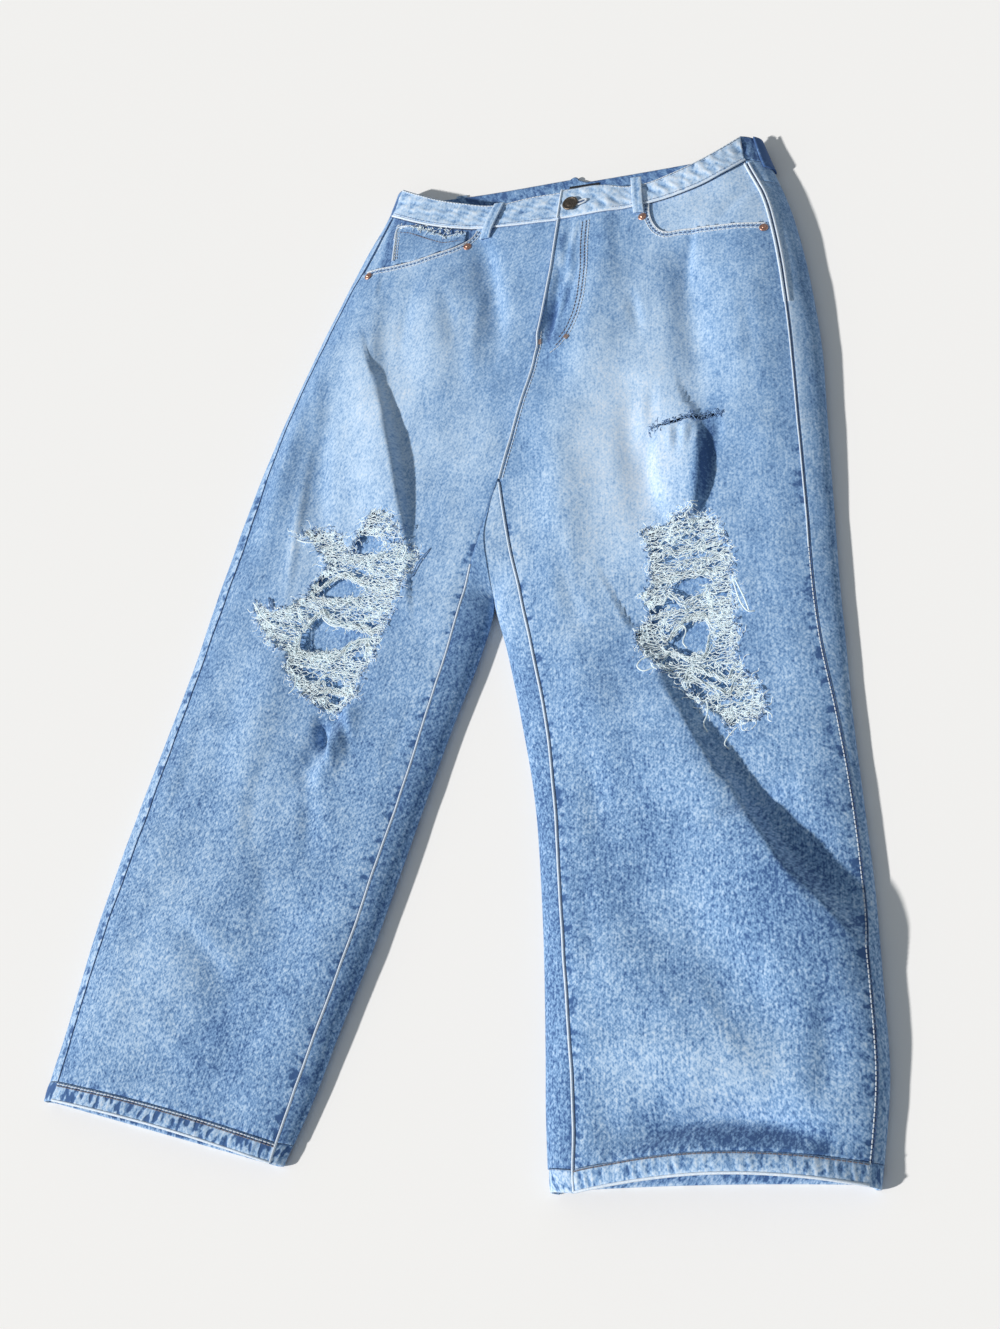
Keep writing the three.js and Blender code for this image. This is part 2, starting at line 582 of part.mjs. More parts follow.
// One leg's back: over the side edge, across the floor side, and round the inside edge to the inner seam
function addBack(leg) {
  const rowsAbove = Math.round(sideRows * foldShare);
  const innerLow = hemLine(leg, 0) + hemTall + hemGap;
  const innerY = (k) =>
    k < rowsAbove
      ? lerp(yokeMid - gap / 2, foldY, k / rowsAbove)
      : lerp(foldY, innerLow, (k - rowsAbove) / (sideRows - rowsAbove));
  const main = {
    columns: backColumns,
    rows: sideRows,
    flip: leg.sign < 0,
    past: '<',
    at: (c, r) => {
      const point = backPoint(leg, c, sideY(leg, r * sideRows), innerY(r * sideRows));
      point.y += floorRecess(leg, c) * smooth(r, 0.9, 1);
      return point;
    },
  };
  const topRows = 5; // from the crotch seams to the fold
  const stripRows = topRows + sideRows - rowsAbove;
  const stripY = (k) => (k < topRows ? lerp(crotchY, foldY, k / topRows) : innerY(rowsAbove + k - topRows));
  const strip = {
    columns: 3,
    rows: stripRows,
    flip: leg.sign < 0,
    past: '>',
    at: (c, r) => innerStrip(leg, 1 - c, stripY(r * stripRows)),
  };
  add(`back_${leg.name}`, wall([main, strip], cloth), denim);
}

function addYoke(leg) {
  const outerY = (r) => lerp(waistSeamSide - gap, yokeSide + gap / 2, r);
  const innerY = (r) => lerp(backSeamMid - gap, yokeMid + gap / 2, r);
  const at = (c, r) => backPoint(leg, c, outerY(r), innerY(r));
  const skin = { columns: backColumns, rows: yokeRows, flip: leg.sign < 0, past: '<', at };
  add(`yoke_${leg.name}`, wall([skin], cloth), denim);
}

// The hem is a turned-up ring round the leg's opening
function addHem(leg) {
  const stripColumns = 3;
  const total = frontColumns + backColumns + stripColumns;
  const at = (c, r) => {
    const k = Math.round(c * total) % total;
    const up = hemTall * (1 - r);
    const [outerY, innerY] = [hemLine(leg, 1) + up, hemLine(leg, 0) + up];
    if (k < frontColumns) {
      const s = columnAt(k / frontColumns);
      return frontPoint(leg, s, frontHem(leg, s) + up);
    }
    if (k < frontColumns + backColumns) {
      const point = backPoint(leg, (k - frontColumns) / backColumns, outerY, innerY);
      point.y += floorRecess(leg, (k - frontColumns) / backColumns);
      return point;
    }
    return innerStrip(leg, 1 - (k - frontColumns - backColumns) / stripColumns, innerY);
  };
  add(`hem_${leg.name}`, wall([{ columns: total, rows: 1, at, flip: leg.sign < 0, past: '^' }], hemCloth), denim);
}

// The right front's band carries on under the end of the left one, which buttons over it. Both ends are
// more columns before the centre line, and the rest of each band keeps the columns of its front.
function addFrontBand(leg) {
  const more = leg.sign > 0 ? 1 : 2;
  const reach = leg.sign > 0 ? flyLap : flyWide - 2;
  const skin = { columns: frontColumns + more, rows: 3, flip: leg.sign < 0, past: '<>^v' };
  skin.at = (c, r) => {
    const column = (c * skin.columns - more) / frontColumns;
    const s = Math.max(columnAt(column), 0) + Math.max(column - 1, 0) * 0.4;
    const y = lerp(waistTop(leg, s), waistSeam(s), r);
    const beyond = (Math.max(-column, 0) * frontColumns * reach) / more;
    const point = leg.sign > 0 || beyond === 0 ? frontPoint(leg, s, y) : onTop(legs.left, centre(y) + beyond, y);
    if (leg.sign > 0 && beyond > 0) point.copy(onTop(leg, centre(y) + gap / 2 - beyond, y));
    point.z += bandCloth / 2 + lapRise(leg, point, flyLow, bandCloth + gap);
    return point;
  };
  add(`waistband_front_${leg.name}`, wall([skin], bandCloth), denim);
}

// The back waistband runs from one side seam round both edges and under the front to the other
function addBackBand() {
  const skin = { columns: 2 * backColumns, rows: 3, past: '<>' };
  skin.at = (c, r) => {
    const leg = c < 0.5 ? legs.left : legs.right;
    const y = [lerp(frontTopSide, waistSeamSide, r), lerp(backTopMid, backSeamMid, r)];
    const point = backPoint(leg, c < 0.5 ? 2 * c : 2 - 2 * c, ...y);
    const side = Math.abs(2 * c - 1);
    const bump = c > 0.5 ? backTopBump * Math.exp(-(((side - 0.2) / 0.14) ** 2)) : 0;
    point.y += (1 - r) * (bump - backTopDip * Math.sin(Math.PI * side) ** 2);
    if (Math.abs(c - 0.5) < 0.01) point.x = centre(point.y);
    return point;
  };
  add('waistband_back', wall([skin], bandCloth), denim);
}

// A belt loop lies over the band, from its top edge to just under its seam
function addFrontLoop(name, leg, top, bottom) {
  const skin = { columns: 2, rows: 6, past: '', flip: leg.sign < 0 };
  skin.at = (c, r) => {
    const x = lerp(top[0], bottom[0], r) + leg.sign * loopWide * (c - 0.5);
    const y = lerp(top[1], bottom[1], r);
    const point = onTop(leg, x, y);
    const onBand = 1 - smooth(r, 0.8, 0.99);
    point.z += loopClear + loopCloth + (bandCloth / 2) * onBand;
    return point;
  };
  add(name, wall([skin], loopCloth), denim);
}

function addSideLoop(leg) {
  const skin = { columns: 3, rows: 4, flip: leg.sign < 0 };
  skin.at = (c, r) => {
    const y = lerp(frontTopSide - 1, waistSeamSide - 8, r);
    const q = lerp(0.2, 0.62, c);
    const point = outerRound(leg, q, y);
    const [a, b] = [outerRound(leg, q - 0.02, y), outerRound(leg, q + 0.02, y)];
    const along = b.sub(a).normalize();
    const out = new THREE.Vector3(-along.z, 0, along.x).multiplyScalar(leg.sign);
    return point.addScaledVector(out, loopClear + loopCloth);
  };
  add(`loop_side_${leg.name}`, wall([skin], loopCloth), denim);
}

// Pieces under the seat lie flat
const flat = (name, outline, look) => add(name, upright(outline, 0, pocketCloth), look);

function addBackPocket(leg) {
  const pocket = { top: 232, low: 92, point: 72, wideTop: 152, wideLow: 126, middle: 134 };
  const across = (u, wide) => leg.sign * (pocket.middle + u * wide);
  flat(`back_pocket_${leg.name}`, [
    [across(-0.5, pocket.wideTop), pocket.top - 6],
    [across(-0.5, pocket.wideLow), pocket.low],
    [across(0.04, pocket.wideLow), pocket.point],
    [across(0.54, pocket.wideLow), pocket.low + 6],
    [across(0.52, pocket.wideTop), pocket.top + 6],
  ], denim);
}

// A turned metal piece that stands on the front's cloth and leans with it
function addTurned(name, leg, at, profile, lift, look) {
  const points = profile.map(([radius, height]) => new THREE.Vector2(radius, height));
  const mesh = addMesh(name, new THREE.LatheGeometry(points, 20), look);
  const [x, y] = at;
  const step = 6;
  const slopeX = (topHeight(leg, x + step, y) - topHeight(leg, x - step, y)) / (2 * step);
  const slopeY = (topHeight(leg, x, y + step) - topHeight(leg, x, y - step)) / (2 * step);
  const up = new THREE.Vector3(-slopeX, -slopeY, 1).normalize();
  mesh.quaternion.setFromUnitVectors(new THREE.Vector3(0, 1, 0), up);
  mesh.position.set(x, y, topHeight(leg, x, y)).addScaledVector(up, lift);
  return mesh;
}

const half = (wide) => wide / 2;
const rivetShape = [[0, 0], [half(rivetWide), 0], [half(rivetWide), 0.5], [3.4, 1.2], [1.9, 1.2], [1.5, 1.9], [0, 2.1]];
const buttonShape = [
  [0, 0], [4.2, 0], [4.2, 0.9], [half(buttonWide) - 0.6, 1.3], [half(buttonWide), 2.1], [half(buttonWide) - 0.6, 3],
  [6.2, 3.1], [5.6, 2.6], [0, 2.7],
];

addFront(legs.left, leftMouth, leftRip, leftGaps, [slit]);
addFront(legs.right, rightMouth, rightRip, rightGaps, []);
for (const [leg, mouth] of [[legs.left, leftMouth], [legs.right, rightMouth]]) {
  addFacing(leg, mouth);
  addBack(leg);
  addYoke(leg);
  addHem(leg);
  addFrontBand(leg);
  addBackPocket(leg);
}
addCoinPocket(legs.right);
addFly(legs.left);
addBackBand();
addFrontLoop('loop_front_left', legs.left, [93, 341], [102, 295]);
addFrontLoop('loop_front_right', legs.right, [-61, 335], [-72, 291]);
addSideLoop(legs.left);
flat('loop_back_right', box(-132, -119, 326, 377), denim);
flat('loop_back_middle', box(9, 21, 324, 371), denim);
add('label', upright(box(6, 40, 345, 364), seatRise + bandCloth + gap, seatRise + bandCloth + gap + 0.8), labelCloth);

addTurned('button', legs.left, [25, 316], buttonShape, bandCloth * 1.5 + gap * 2.5, darkMetal);
const rivets = [
  { name: 'rivet_left_side', leg: legs.left, at: [235, 258] },
  { name: 'rivet_left_middle', leg: legs.left, at: [106, 290] },
  { name: 'rivet_right_side', leg: legs.right, at: [-208, 264] },
  { name: 'rivet_right_middle', leg: legs.right, at: [-91, 284] },
];
for (const { name, leg, at } of rivets) addTurned(name, leg, at, rivetShape, gap, copper);

const size = new THREE.Box3().setFromObject(group);
const middle = size.getCenter(new THREE.Vector3());
group.position.set(-middle.x, -middle.y, 0);

export default group;
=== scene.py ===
import math
import random

import bmesh
import bpy
import numpy as np
from mathutils import Matrix, Vector


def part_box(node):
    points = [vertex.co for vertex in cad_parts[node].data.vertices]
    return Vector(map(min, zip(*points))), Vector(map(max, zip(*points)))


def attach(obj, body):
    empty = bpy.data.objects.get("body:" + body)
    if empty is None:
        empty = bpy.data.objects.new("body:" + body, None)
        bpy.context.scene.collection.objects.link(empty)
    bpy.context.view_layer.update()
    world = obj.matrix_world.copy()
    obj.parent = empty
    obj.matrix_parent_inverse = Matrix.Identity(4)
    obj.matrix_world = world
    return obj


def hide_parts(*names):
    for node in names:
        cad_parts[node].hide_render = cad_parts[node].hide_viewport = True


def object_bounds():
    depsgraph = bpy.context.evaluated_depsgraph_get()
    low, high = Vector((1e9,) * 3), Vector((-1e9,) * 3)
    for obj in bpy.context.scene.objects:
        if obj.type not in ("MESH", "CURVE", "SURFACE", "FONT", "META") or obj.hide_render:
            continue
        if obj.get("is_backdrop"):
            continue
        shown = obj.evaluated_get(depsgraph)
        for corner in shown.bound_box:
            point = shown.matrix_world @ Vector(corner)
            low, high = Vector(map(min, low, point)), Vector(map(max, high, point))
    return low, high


# Ripped wide-leg jeans, laid flat on their back.
# Sizes are in millimetres from the point where the crotch seams meet: X runs towards the
# wearer's left, Y towards the waist and Z up. toRow() puts them into the row frame.

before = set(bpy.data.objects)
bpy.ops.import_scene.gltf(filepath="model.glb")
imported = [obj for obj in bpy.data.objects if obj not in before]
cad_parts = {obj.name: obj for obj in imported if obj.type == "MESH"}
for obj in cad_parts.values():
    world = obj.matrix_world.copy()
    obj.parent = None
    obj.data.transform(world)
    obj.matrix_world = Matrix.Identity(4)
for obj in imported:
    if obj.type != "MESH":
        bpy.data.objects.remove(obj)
cadBox = [list(corner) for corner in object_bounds()]
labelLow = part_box("label")[0]
labelCorner = (6, 345)  # where the label's near corner lies in the garment's own millimetres
shift = np.array([labelLow[0] * 1000 - labelCorner[0], labelLow[1] * 1000 - labelCorner[1], 0])
print("frame loaded, shift", [round(float(v), 3) for v in shift])


def toRow(points):
    return (np.asarray(points, float) + shift) / 1000


# The form of the cloth

form = dict(
    gap=0.3,  # between neighbours at a seam
    cloth=1.2,
    seatRise=1.8,  # room for the back pockets and flat loops under the seat
    edgeHeight=6,  # of the leg's rolled edge, where the front's slope begins
    floorRadius=10,  # of the back's turn down to the floor
    outerRoll=60,
    innerRoll=48,
    foldY=-124,  # where the two legs part
    hemTall=18,
    hemGap=0.6,
    flyLap=4,
    flyLow=152,
    flyWide=36,
    seamHigh=(303, 349),  # the waistband's lower seam at the centre and at the side
    bandHigh=(328, 383),  # its folded top at the centre and at the side
    bandPeak=11,  # how far the top stands up again at the fly
)

# y and x of the centre seam
centreLine = [
    (390, 15), (305, 15), (250, 16), (190, 13), (125, 6), (60, -5), (0, -13), (-30, -18),
    (-60, -20), (-95, -11), (-124, -5),
]

# y, rolled edge, side seam, how high the front lies over the back
leftSide = [
    (390, 212, 196, 17), (350, 229, 206, 20), (300, 251, 231, 23), (250, 268, 247, 24),
    (190, 284, 261, 23), (125, 298, 273, 21), (60, 307, 283, 19), (-30, 319, 297, 17),
    (-124, 332, 311, 16), (-180, 341, 322, 15), (-250, 352, 341, 15), (-325, 366, 359, 16),
    (-400, 380, 373, 18), (-475, 391, 384, 19), (-550, 401, 394, 20), (-610, 401, 394, 20),
    (-668, 398, 391, 20),
]
rightSide = [
    (390, -202, -190, 17), (350, -209, -198, 19), (300, -227, -209, 22), (250, -243, -228, 23),
    (190, -262, -248, 22), (125, -280, -268, 21), (60, -296, -283, 19), (-30, -314, -296, 18),
    (-124, -329, -311, 17), (-180, -336, -320, 17), (-250, -348, -331, 17), (-325, -362, -342, 18),
    (-400, -374, -353, 20), (-475, -384, -364, 21), (-550, -390, -374, 20), (-610, -397, -381, 16),
    (-668, -404, -388, 12),
]

# y, inner leg seam, rolled edge beyond it
leftInside = [
    (0, -13, -13), (-60, 4, -20), (-124, 27, -5), (-180, 47, 18), (-250, 71, 43), (-325, 90, 67),
    (-400, 106, 84), (-475, 122, 98), (-550, 138, 110), (-610, 149, 119), (-668, 158, 130),
]
rightInside = [
    (0, -13, -13), (-60, -25, -20), (-124, -33, -5), (-180, -40, -11), (-250, -52, -28),
    (-325, -64, -44), (-400, -78, -59), (-475, -92, -75), (-550, -109, -94), (-610, -123, -108),
    (-668, -136, -126),
]

# from, through, to, rise, and the widths over which it dies away on its left and its right
largeFolds = [
    ((150, -172), (216, -268), (296, -372), 12, 9, 60),
    ((252, -318), (318, -398), (404, -474), 20, 9, 76),
    ((246, -352), (274, -334), (304, -322), -6, 9, 7),
    ((205, -250), (290, -345), (385, -425), -5, 26, 12),
    ((150, -420), (215, -520), (330, -560), 9, 45, 50),
    ((95, -150), (110, -240), (150, -330), 8, 34, 26),
    ((140, -652), (270, -636), (400, -640), 11, 20, 22),
    ((185, -612), (280, -592), (365, -604), -9, 16, 14),
    ((178, 62), (197, -8), (184, -74), 12, 5, 32),
    ((146, 44), (141, 0), (168, -66), -5, 9, 10),
    ((112, 92), (126, 10), (146, -60), -5, 12, 13),
    ((148, 262), (166, 180), (190, 70), -8, 18, 16),
    ((210, 240), (225, 150), (240, 40), 5, 26, 26),
    ((60, 270), (70, 170), (60, 70), 6, 28, 28),
    ((20, 90), (60, -40), (70, -180), 6, 22, 22),
    ((28, 225), (20, 188), (12, 150), -5, 9, 7),
    ((-82, 296), (-56, 232), (-36, 150), -8, 11, 16),
    ((-120, 270), (-110, 180), (-90, 80), 6, 30, 30),
    ((-172, 128), (-133, 30), (-100, -84), 15, 6, 44),
    ((-190, 226), (-181, 150), (-156, 84), 6, 11, 34),
    ((-228, 90), (-222, 10), (-205, -60), -6, 16, 20),
    ((-240, 160), (-262, 60), (-275, -60), 5, 16, 14),
    ((-150, -232), (-158, -262), (-172, -306), -9, 10, 12),
    ((-134, -236), (-140, -275), (-160, -330), 7, 12, 10),
    ((-235, -150), (-232, -240), (-240, -340), 7, 28, 28),
    ((-190, -400), (-250, -450), (-300, -540), 7, 40, 36),
    ((-130, -440), (-190, -500), (-250, -590), -6, 26, 28),
    ((-385, -640), (-250, -650), (-135, -662), 4, 14, 16),
]

# shallow creases that only show in the cloth's surface
smallFolds = [
    ((226, 318), (206, 300), (186, 276), -2.0, 5, 8),
    ((60, 296), (76, 250), (84, 190), 1.3, 8, 12),
    ((163, 268), (160, 238), (162, 198), -2.6, 4, 7),
    ((106, 196), (111, 178), (118, 152), -2.6, 5, 7),
    ((24, 204), (22, 180), (20, 148), -3.4, 4, 5),
    ((31, 214), (30, 186), (27, 154), 1.8, 4, 5),
    ((27, 292), (28, 256), (25, 214), -1.4, 4, 4),
    ((34, 296), (35, 262), (36, 222), 1.3, 4, 4),
    ((43, 246), (41, 216), (36, 184), -1.6, 3, 5),
    ((187, -634), (268, -596), (360, -608), -6, 5, 12),
    ((-268, -462), (-240, -486), (-206, -520), -3.2, 10, 16),
    ((-210, -600), (-176, -560), (-140, -520), -3.5, 18, 14),
    ((-260, -560), (-220, -530), (-170, -490), 3, 20, 20),
    ((-172, -300), (-160, -340), (-150, -390), -3, 12, 8),
    ((-168, -250), (-162, -270), (-152, -292), -5, 5, 5),
    ((-150, -242), (-139, -256), (-128, -282), -5, 5, 6),
    ((-160, -246), (-150, -268), (-140, -300), 3, 4, 4),
    ((168, -532), (232, -524), (290, -496), -2.6, 10, 14),
    ((230, -380), (296, -456), (346, -520), 3.4, 30, 26),
    ((346, -490), (356, -540), (352, -590), -3.4, 16, 12),
    ((110, -250), (130, -320), (150, -390), -2.4, 14, 12),
    ((-250, 150), (-236, 80), (-246, 10), 1.8, 9, 9),
    ((-238, 44), (-236, -30), (-231, -120), 2.4, 4, 7),
    ((38, 292), (37, 270), (39, 246), -1.6, 3, 4),
    ((20, 246), (22, 224), (19, 206), -1.6, 3, 4),
    ((36, 212), (34, 190), (29, 168), -2.2, 3, 4),
    ((142, 50), (139, 68), (138, 88), -2.0, 5, 7),
    ((162, 42), (164, 30), (166, 14), 2.2, 4, 4),
    ((170, 43), (171, 30), (172, 18), -2.4, 3, 4),
    ((178, 44), (179, 30), (179, 10), 2.2, 4, 4),
    ((187, 45), (187, 33), (186, 22), -2.0, 3, 4),
    ((207, 48), (209, 36), (211, 20), -2.0, 4, 4),
    ((-118, 246), (-96, 196), (-82, 140), -1.6, 7, 10),
    ((-146, 236), (-150, 190), (-142, 140), -1.4, 9, 7),
    ((-60, 240), (-66, 180), (-58, 120), 1.8, 8, 8),
    ((-212, -280), (-222, -330), (-214, -380), -1.6, 9, 9),
    ((-300, -240), (-310, -320), (-330, -400), -1.5, 10, 10),
    ((60, -60), (76, -120), (104, -170), -1.8, 8, 10),
    ((120, -380), (140, -440), (150, -500), -1.7, 10, 12),
    ((236, -470), (262, -520), (300, -560), 1.8, 10, 12),
    ((220, 190), (232, 140), (236, 80), -1.5, 8, 9),
    ((-60, -230), (-76, -270), (-84, -330), -1.5, 8, 8),
]


def through(rows, column):
    ys = np.array([row[0] for row in rows], float)
    values = np.array([row[column] for row in rows], float)
    before = np.maximum(np.arange(len(ys)) - 1, 0)
    after = np.minimum(np.arange(len(ys)) + 1, len(ys) - 1)
    slopes = (values[after] - values[before]) / (ys[after] - ys[before])

    def at(y):
        y = np.asarray(y, float)
        i = np.clip(np.searchsorted(-ys, -y, side="left") - 1, 0, len(ys) - 2)
        span = ys[i + 1] - ys[i]
        t = (y - ys[i]) / span
        curve = (
            values[i] * (1 - t) ** 2 * (1 + 2 * t)
            + values[i + 1] * t * t * (3 - 2 * t)
            + span * (slopes[i] * t * (1 - t) ** 2 + slopes[i + 1] * t * t * (t - 1))
        )
        early = values[i] + (y - ys[i]) * slopes[i]
        late = values[i + 1] + (y - ys[i + 1]) * slopes[i + 1]
        return np.where(t < 0, early, np.where(t > 1, late, curve))

    return at


def lerp(a, b, t):
    return a + (b - a) * t


def smooth(value, low, high):
    t = np.clip((value - low) / (high - low), 0, 1)
    return t * t * (3 - 2 * t)


def rise(distance, roll):
    return np.sqrt(1 - (1 - np.clip(distance / roll, 0, 1)) ** 2)


def underside(y):
    return form["seatRise"] * smooth(y, -60, 20)


class Leg:
    def __init__(self, name, sign, side, inside, topBend, hem, grain):
        self.name = name
        self.sign = sign
        self.edge = through(side, 1)
        self.seam = through(side, 2)
        self.lift = through(side, 3)
        self.insideSeam = through(inside, 1)
        self.insideEdge = through(inside, 2)
        self.topBend = topBend
        self.hem = hem
        self.grain = grain  # the turn of the warp from the garment's own Y, in radians

    def innerEdge(self, y):
        return np.where(y > form["foldY"], centre(y), self.insideEdge(y))

    def innerSeam(self, y):
        return np.where(y > 0, centre(y), self.insideSeam(y))

    def hemLine(self, s):
        return lerp(self.hem["inner"], self.hem["outer"], s)

    def frontHem(self, s):
        return self.hemLine(s) + self.hem["recess"] * np.sin(math.pi * np.clip(s, 0, 1))

    def sideLow(self):
        return self.hemLine(1) + form["hemTall"] + form["hemGap"]


centre = through(centreLine, 1)
# inner and outer give a hem's y at each seam; recess and floor give how far it bows up, front and back
leftHem = dict(inner=-667, outer=-638, recess=10, floor=6)
rightHem = dict(inner=-669, outer=-634, recess=3, floor=0)
left = Leg("left", 1, leftSide, leftInside, 2.7, leftHem, 0.178)
right = Leg("right", -1, rightSide, rightInside, 2.2, rightHem, -0.176)


def foldPath(start, by, end, steps=10):
    start, by, end = (np.array(p, float) for p in (start, by, end))
    control = 2 * by - (start + end) / 2
    t = np.linspace(0, 1, steps + 1)[:, None]
    return (1 - t) ** 2 * start + 2 * t * (1 - t) * control + t * t * end


def foldHeights(folds, x, y):
    total = np.zeros_like(x)
    for start, by, end, height, leftWide, rightWide in folds:
        path = foldPath(start, by, end)
        reach = 3 * max(leftWide, rightWide)
        low, high = path.min(0) - reach, path.max(0) + reach
        near = (x > low[0]) & (x < high[0]) & (y > low[1]) & (y < high[1])
        px, py = x[near], y[near]
        best = np.full(px.shape, np.inf)
        onLeft = np.zeros(px.shape, bool)
        along = np.zeros(px.shape)
        for i in range(len(path) - 1):
            (ax, ay), (dx, dy) = path[i], path[i + 1] - path[i]
            t = np.clip(((px - ax) * dx + (py - ay) * dy) / (dx * dx + dy * dy), 0, 1)
            ox, oy = px - ax - t * dx, py - ay - t * dy
            distance = np.hypot(ox, oy)
            closer = distance < best
            best = np.where(closer, distance, best)
            onLeft = np.where(closer, dx * oy - dy * ox > 0, onLeft)
            along = np.where(closer, (i + t) / (len(path) - 1), along)
        width = np.where(onLeft, leftWide, rightWide)
        taper = np.sin(math.pi * np.clip(along, 0.06, 0.94)) ** 0.7
        total[near] += height * taper * np.exp(-((best / width) ** 2))
    return total


def topHeight(leg, x, y, fine=True):
    x, y = np.asarray(x, float), np.asarray(y, float)
    out = leg.sign * (leg.edge(y) - x)
    lower = leg.sign * (x - leg.innerEdge(y))
    upper = np.hypot(x - centre(form["foldY"]), y - form["foldY"])
    inside = np.where(y < form["foldY"], lower, upper) - form["gap"] / 2
    height = leg.lift(y) * rise(out, form["outerRoll"]) * rise(inside, form["innerRoll"])
    height += foldHeights(largeFolds, x, y) * rise(out, 34) * rise(inside, 26)
    top = underside(y) + form["edgeHeight"] + np.maximum(height, 0)
    if fine:
        settled = rise(out, 30) * rise(inside, 24)
        top += (foldHeights(smallFolds, x, y) + ripple(x, y)) * settled
    return top


rippleWaves = []
spread = random.Random(11)
for count in range(16):
    length = spread.uniform(26, 95)
    turn = spread.uniform(0, math.pi)
    rippleWaves.append((math.cos(turn) / length, math.sin(turn) / length, spread.uniform(0, 6.28), length))


def ripple(x, y):
    total = np.zeros_like(x)
    for across, up, start, length in rippleWaves:
        total += 0.0022 * length * np.sin(2 * math.pi * (x * across + y * up) + start)
    return total


def waistSeam(s):
    return lerp(*form["seamHigh"], np.maximum(s, 0) ** 2.8)


def waistTop(leg, s):
    s = np.maximum(s, 0)
    return lerp(*form["bandHigh"], s ** leg.topBend) + form["bandPeak"] * np.exp(-((s / 0.3) ** 4))


# Points of the outer skin, in millimetres. s runs from the inner seam or centre to the side seam.


def frontX(leg, s, y):
    return lerp(leg.innerSeam(y), leg.seam(y), s)


def lapAt(leg, y):
    return form["flyLap"] * smooth(y, form["flyLow"] - 8, form["flyLow"] + 14) if leg.sign > 0 else 0 * y


def lapRise(leg, x, y, lowY, height):
    if leg.sign < 0:
        return 0 * y
    across = x - centre(y)
    wide = form["flyWide"]
    return height * smooth(y, lowY - 30, lowY) * (1 - smooth(across, wide + 12, wide + 34))


def outerRound(leg, q, y):
    edge = leg.edge(y)
    width = np.abs(edge - leg.seam(y))
    xTop = edge - leg.sign * width * (1 - 2 * np.minimum(q, 0.5)) ** 2
    turn = math.pi * (np.maximum(q, 0.5) - 0.5)
    xLow = edge - leg.sign * form["floorRadius"] * (1 - np.cos(turn))
    zLow = underside(y) + form["edgeHeight"] * (1 - np.sin(turn))
    onTop = q <= 0.5
    return np.where(onTop, xTop, xLow), np.where(onTop, topHeight(leg, xTop, y), zLow)


def innerRound(leg, q, y):
    lifted = smooth(-y, 94, 124)
    turn = math.pi / 2 * (1 - q)
    edge = leg.innerEdge(y)
    x = edge + leg.sign * form["floorRadius"] * (1 - np.cos(turn))
    return x, underside(y) + lifted * form["edgeHeight"] * (1 - np.sin(turn))


def innerStrip(leg, q, y):
    edge = leg.innerEdge(y)
    width = np.maximum(leg.sign * (leg.innerSeam(y) - edge), 0)
    x = edge + leg.sign * width * (1 - q) ** 2
    return x, topHeight(leg, x, y)


backShares = (6 / 12, 9 / 12)  # where the roll ends and where the flat part ends, across a back


def backPoint(leg, c, outerY, innerY):
    rollEnd, flatEnd = backShares
    xo, zo = outerRound(leg, np.clip(c / rollEnd, 0, 1), outerY)
    xi, zi = innerRound(leg, np.clip((c - flatEnd) / (1 - flatEnd), 0, 1), innerY)
    share = np.clip((c - rollEnd) / (flatEnd - rollEnd), 0, 1)
    x = np.where(c <= rollEnd, xo, np.where(c >= flatEnd, xi, lerp(xo, xi, share)))
    y = np.where(c <= rollEnd, outerY, np.where(c >= flatEnd, innerY, lerp(outerY, innerY, share)))
    z = np.where(c <= rollEnd, zo, np.where(c >= flatEnd, zi, lerp(zo, zi, share)))
    return x, y, z


# Finishes


class Value:
    # a number on a socket; sums and products of values add their own Math nodes
    def __init__(self, finish, socket):
        self.finish = finish
        self.socket = socket

    def math(self, operation, *others):
        sockets = {i: other for i, other in enumerate((self, *others))}
        return self.finish.node("Math", {"operation": operation}, sockets)

    def __add__(self, other):
        return self.math("ADD", other)

    def __sub__(self, other):
        return self.math("SUBTRACT", other)

    def __mul__(self, other):
        return self.math("MULTIPLY", other)

    def __truediv__(self, other):
        return self.math("DIVIDE", other)

    def __pow__(self, other):
        return self.math("POWER", other)

    def __rsub__(self, other):
        return self.finish.node("Math", {"operation": "SUBTRACT"}, {0: other, 1: self})

    __radd__ = __add__
    __rmul__ = __mul__

    def between(self, low, high, toLow=0.0, toHigh=1.0):
        sockets = {"Value": self, "From Min": low, "From Max": high, "To Min": toLow, "To Max": toHigh}
        return self.finish.node("MapRange", {"clamp": True}, sockets)


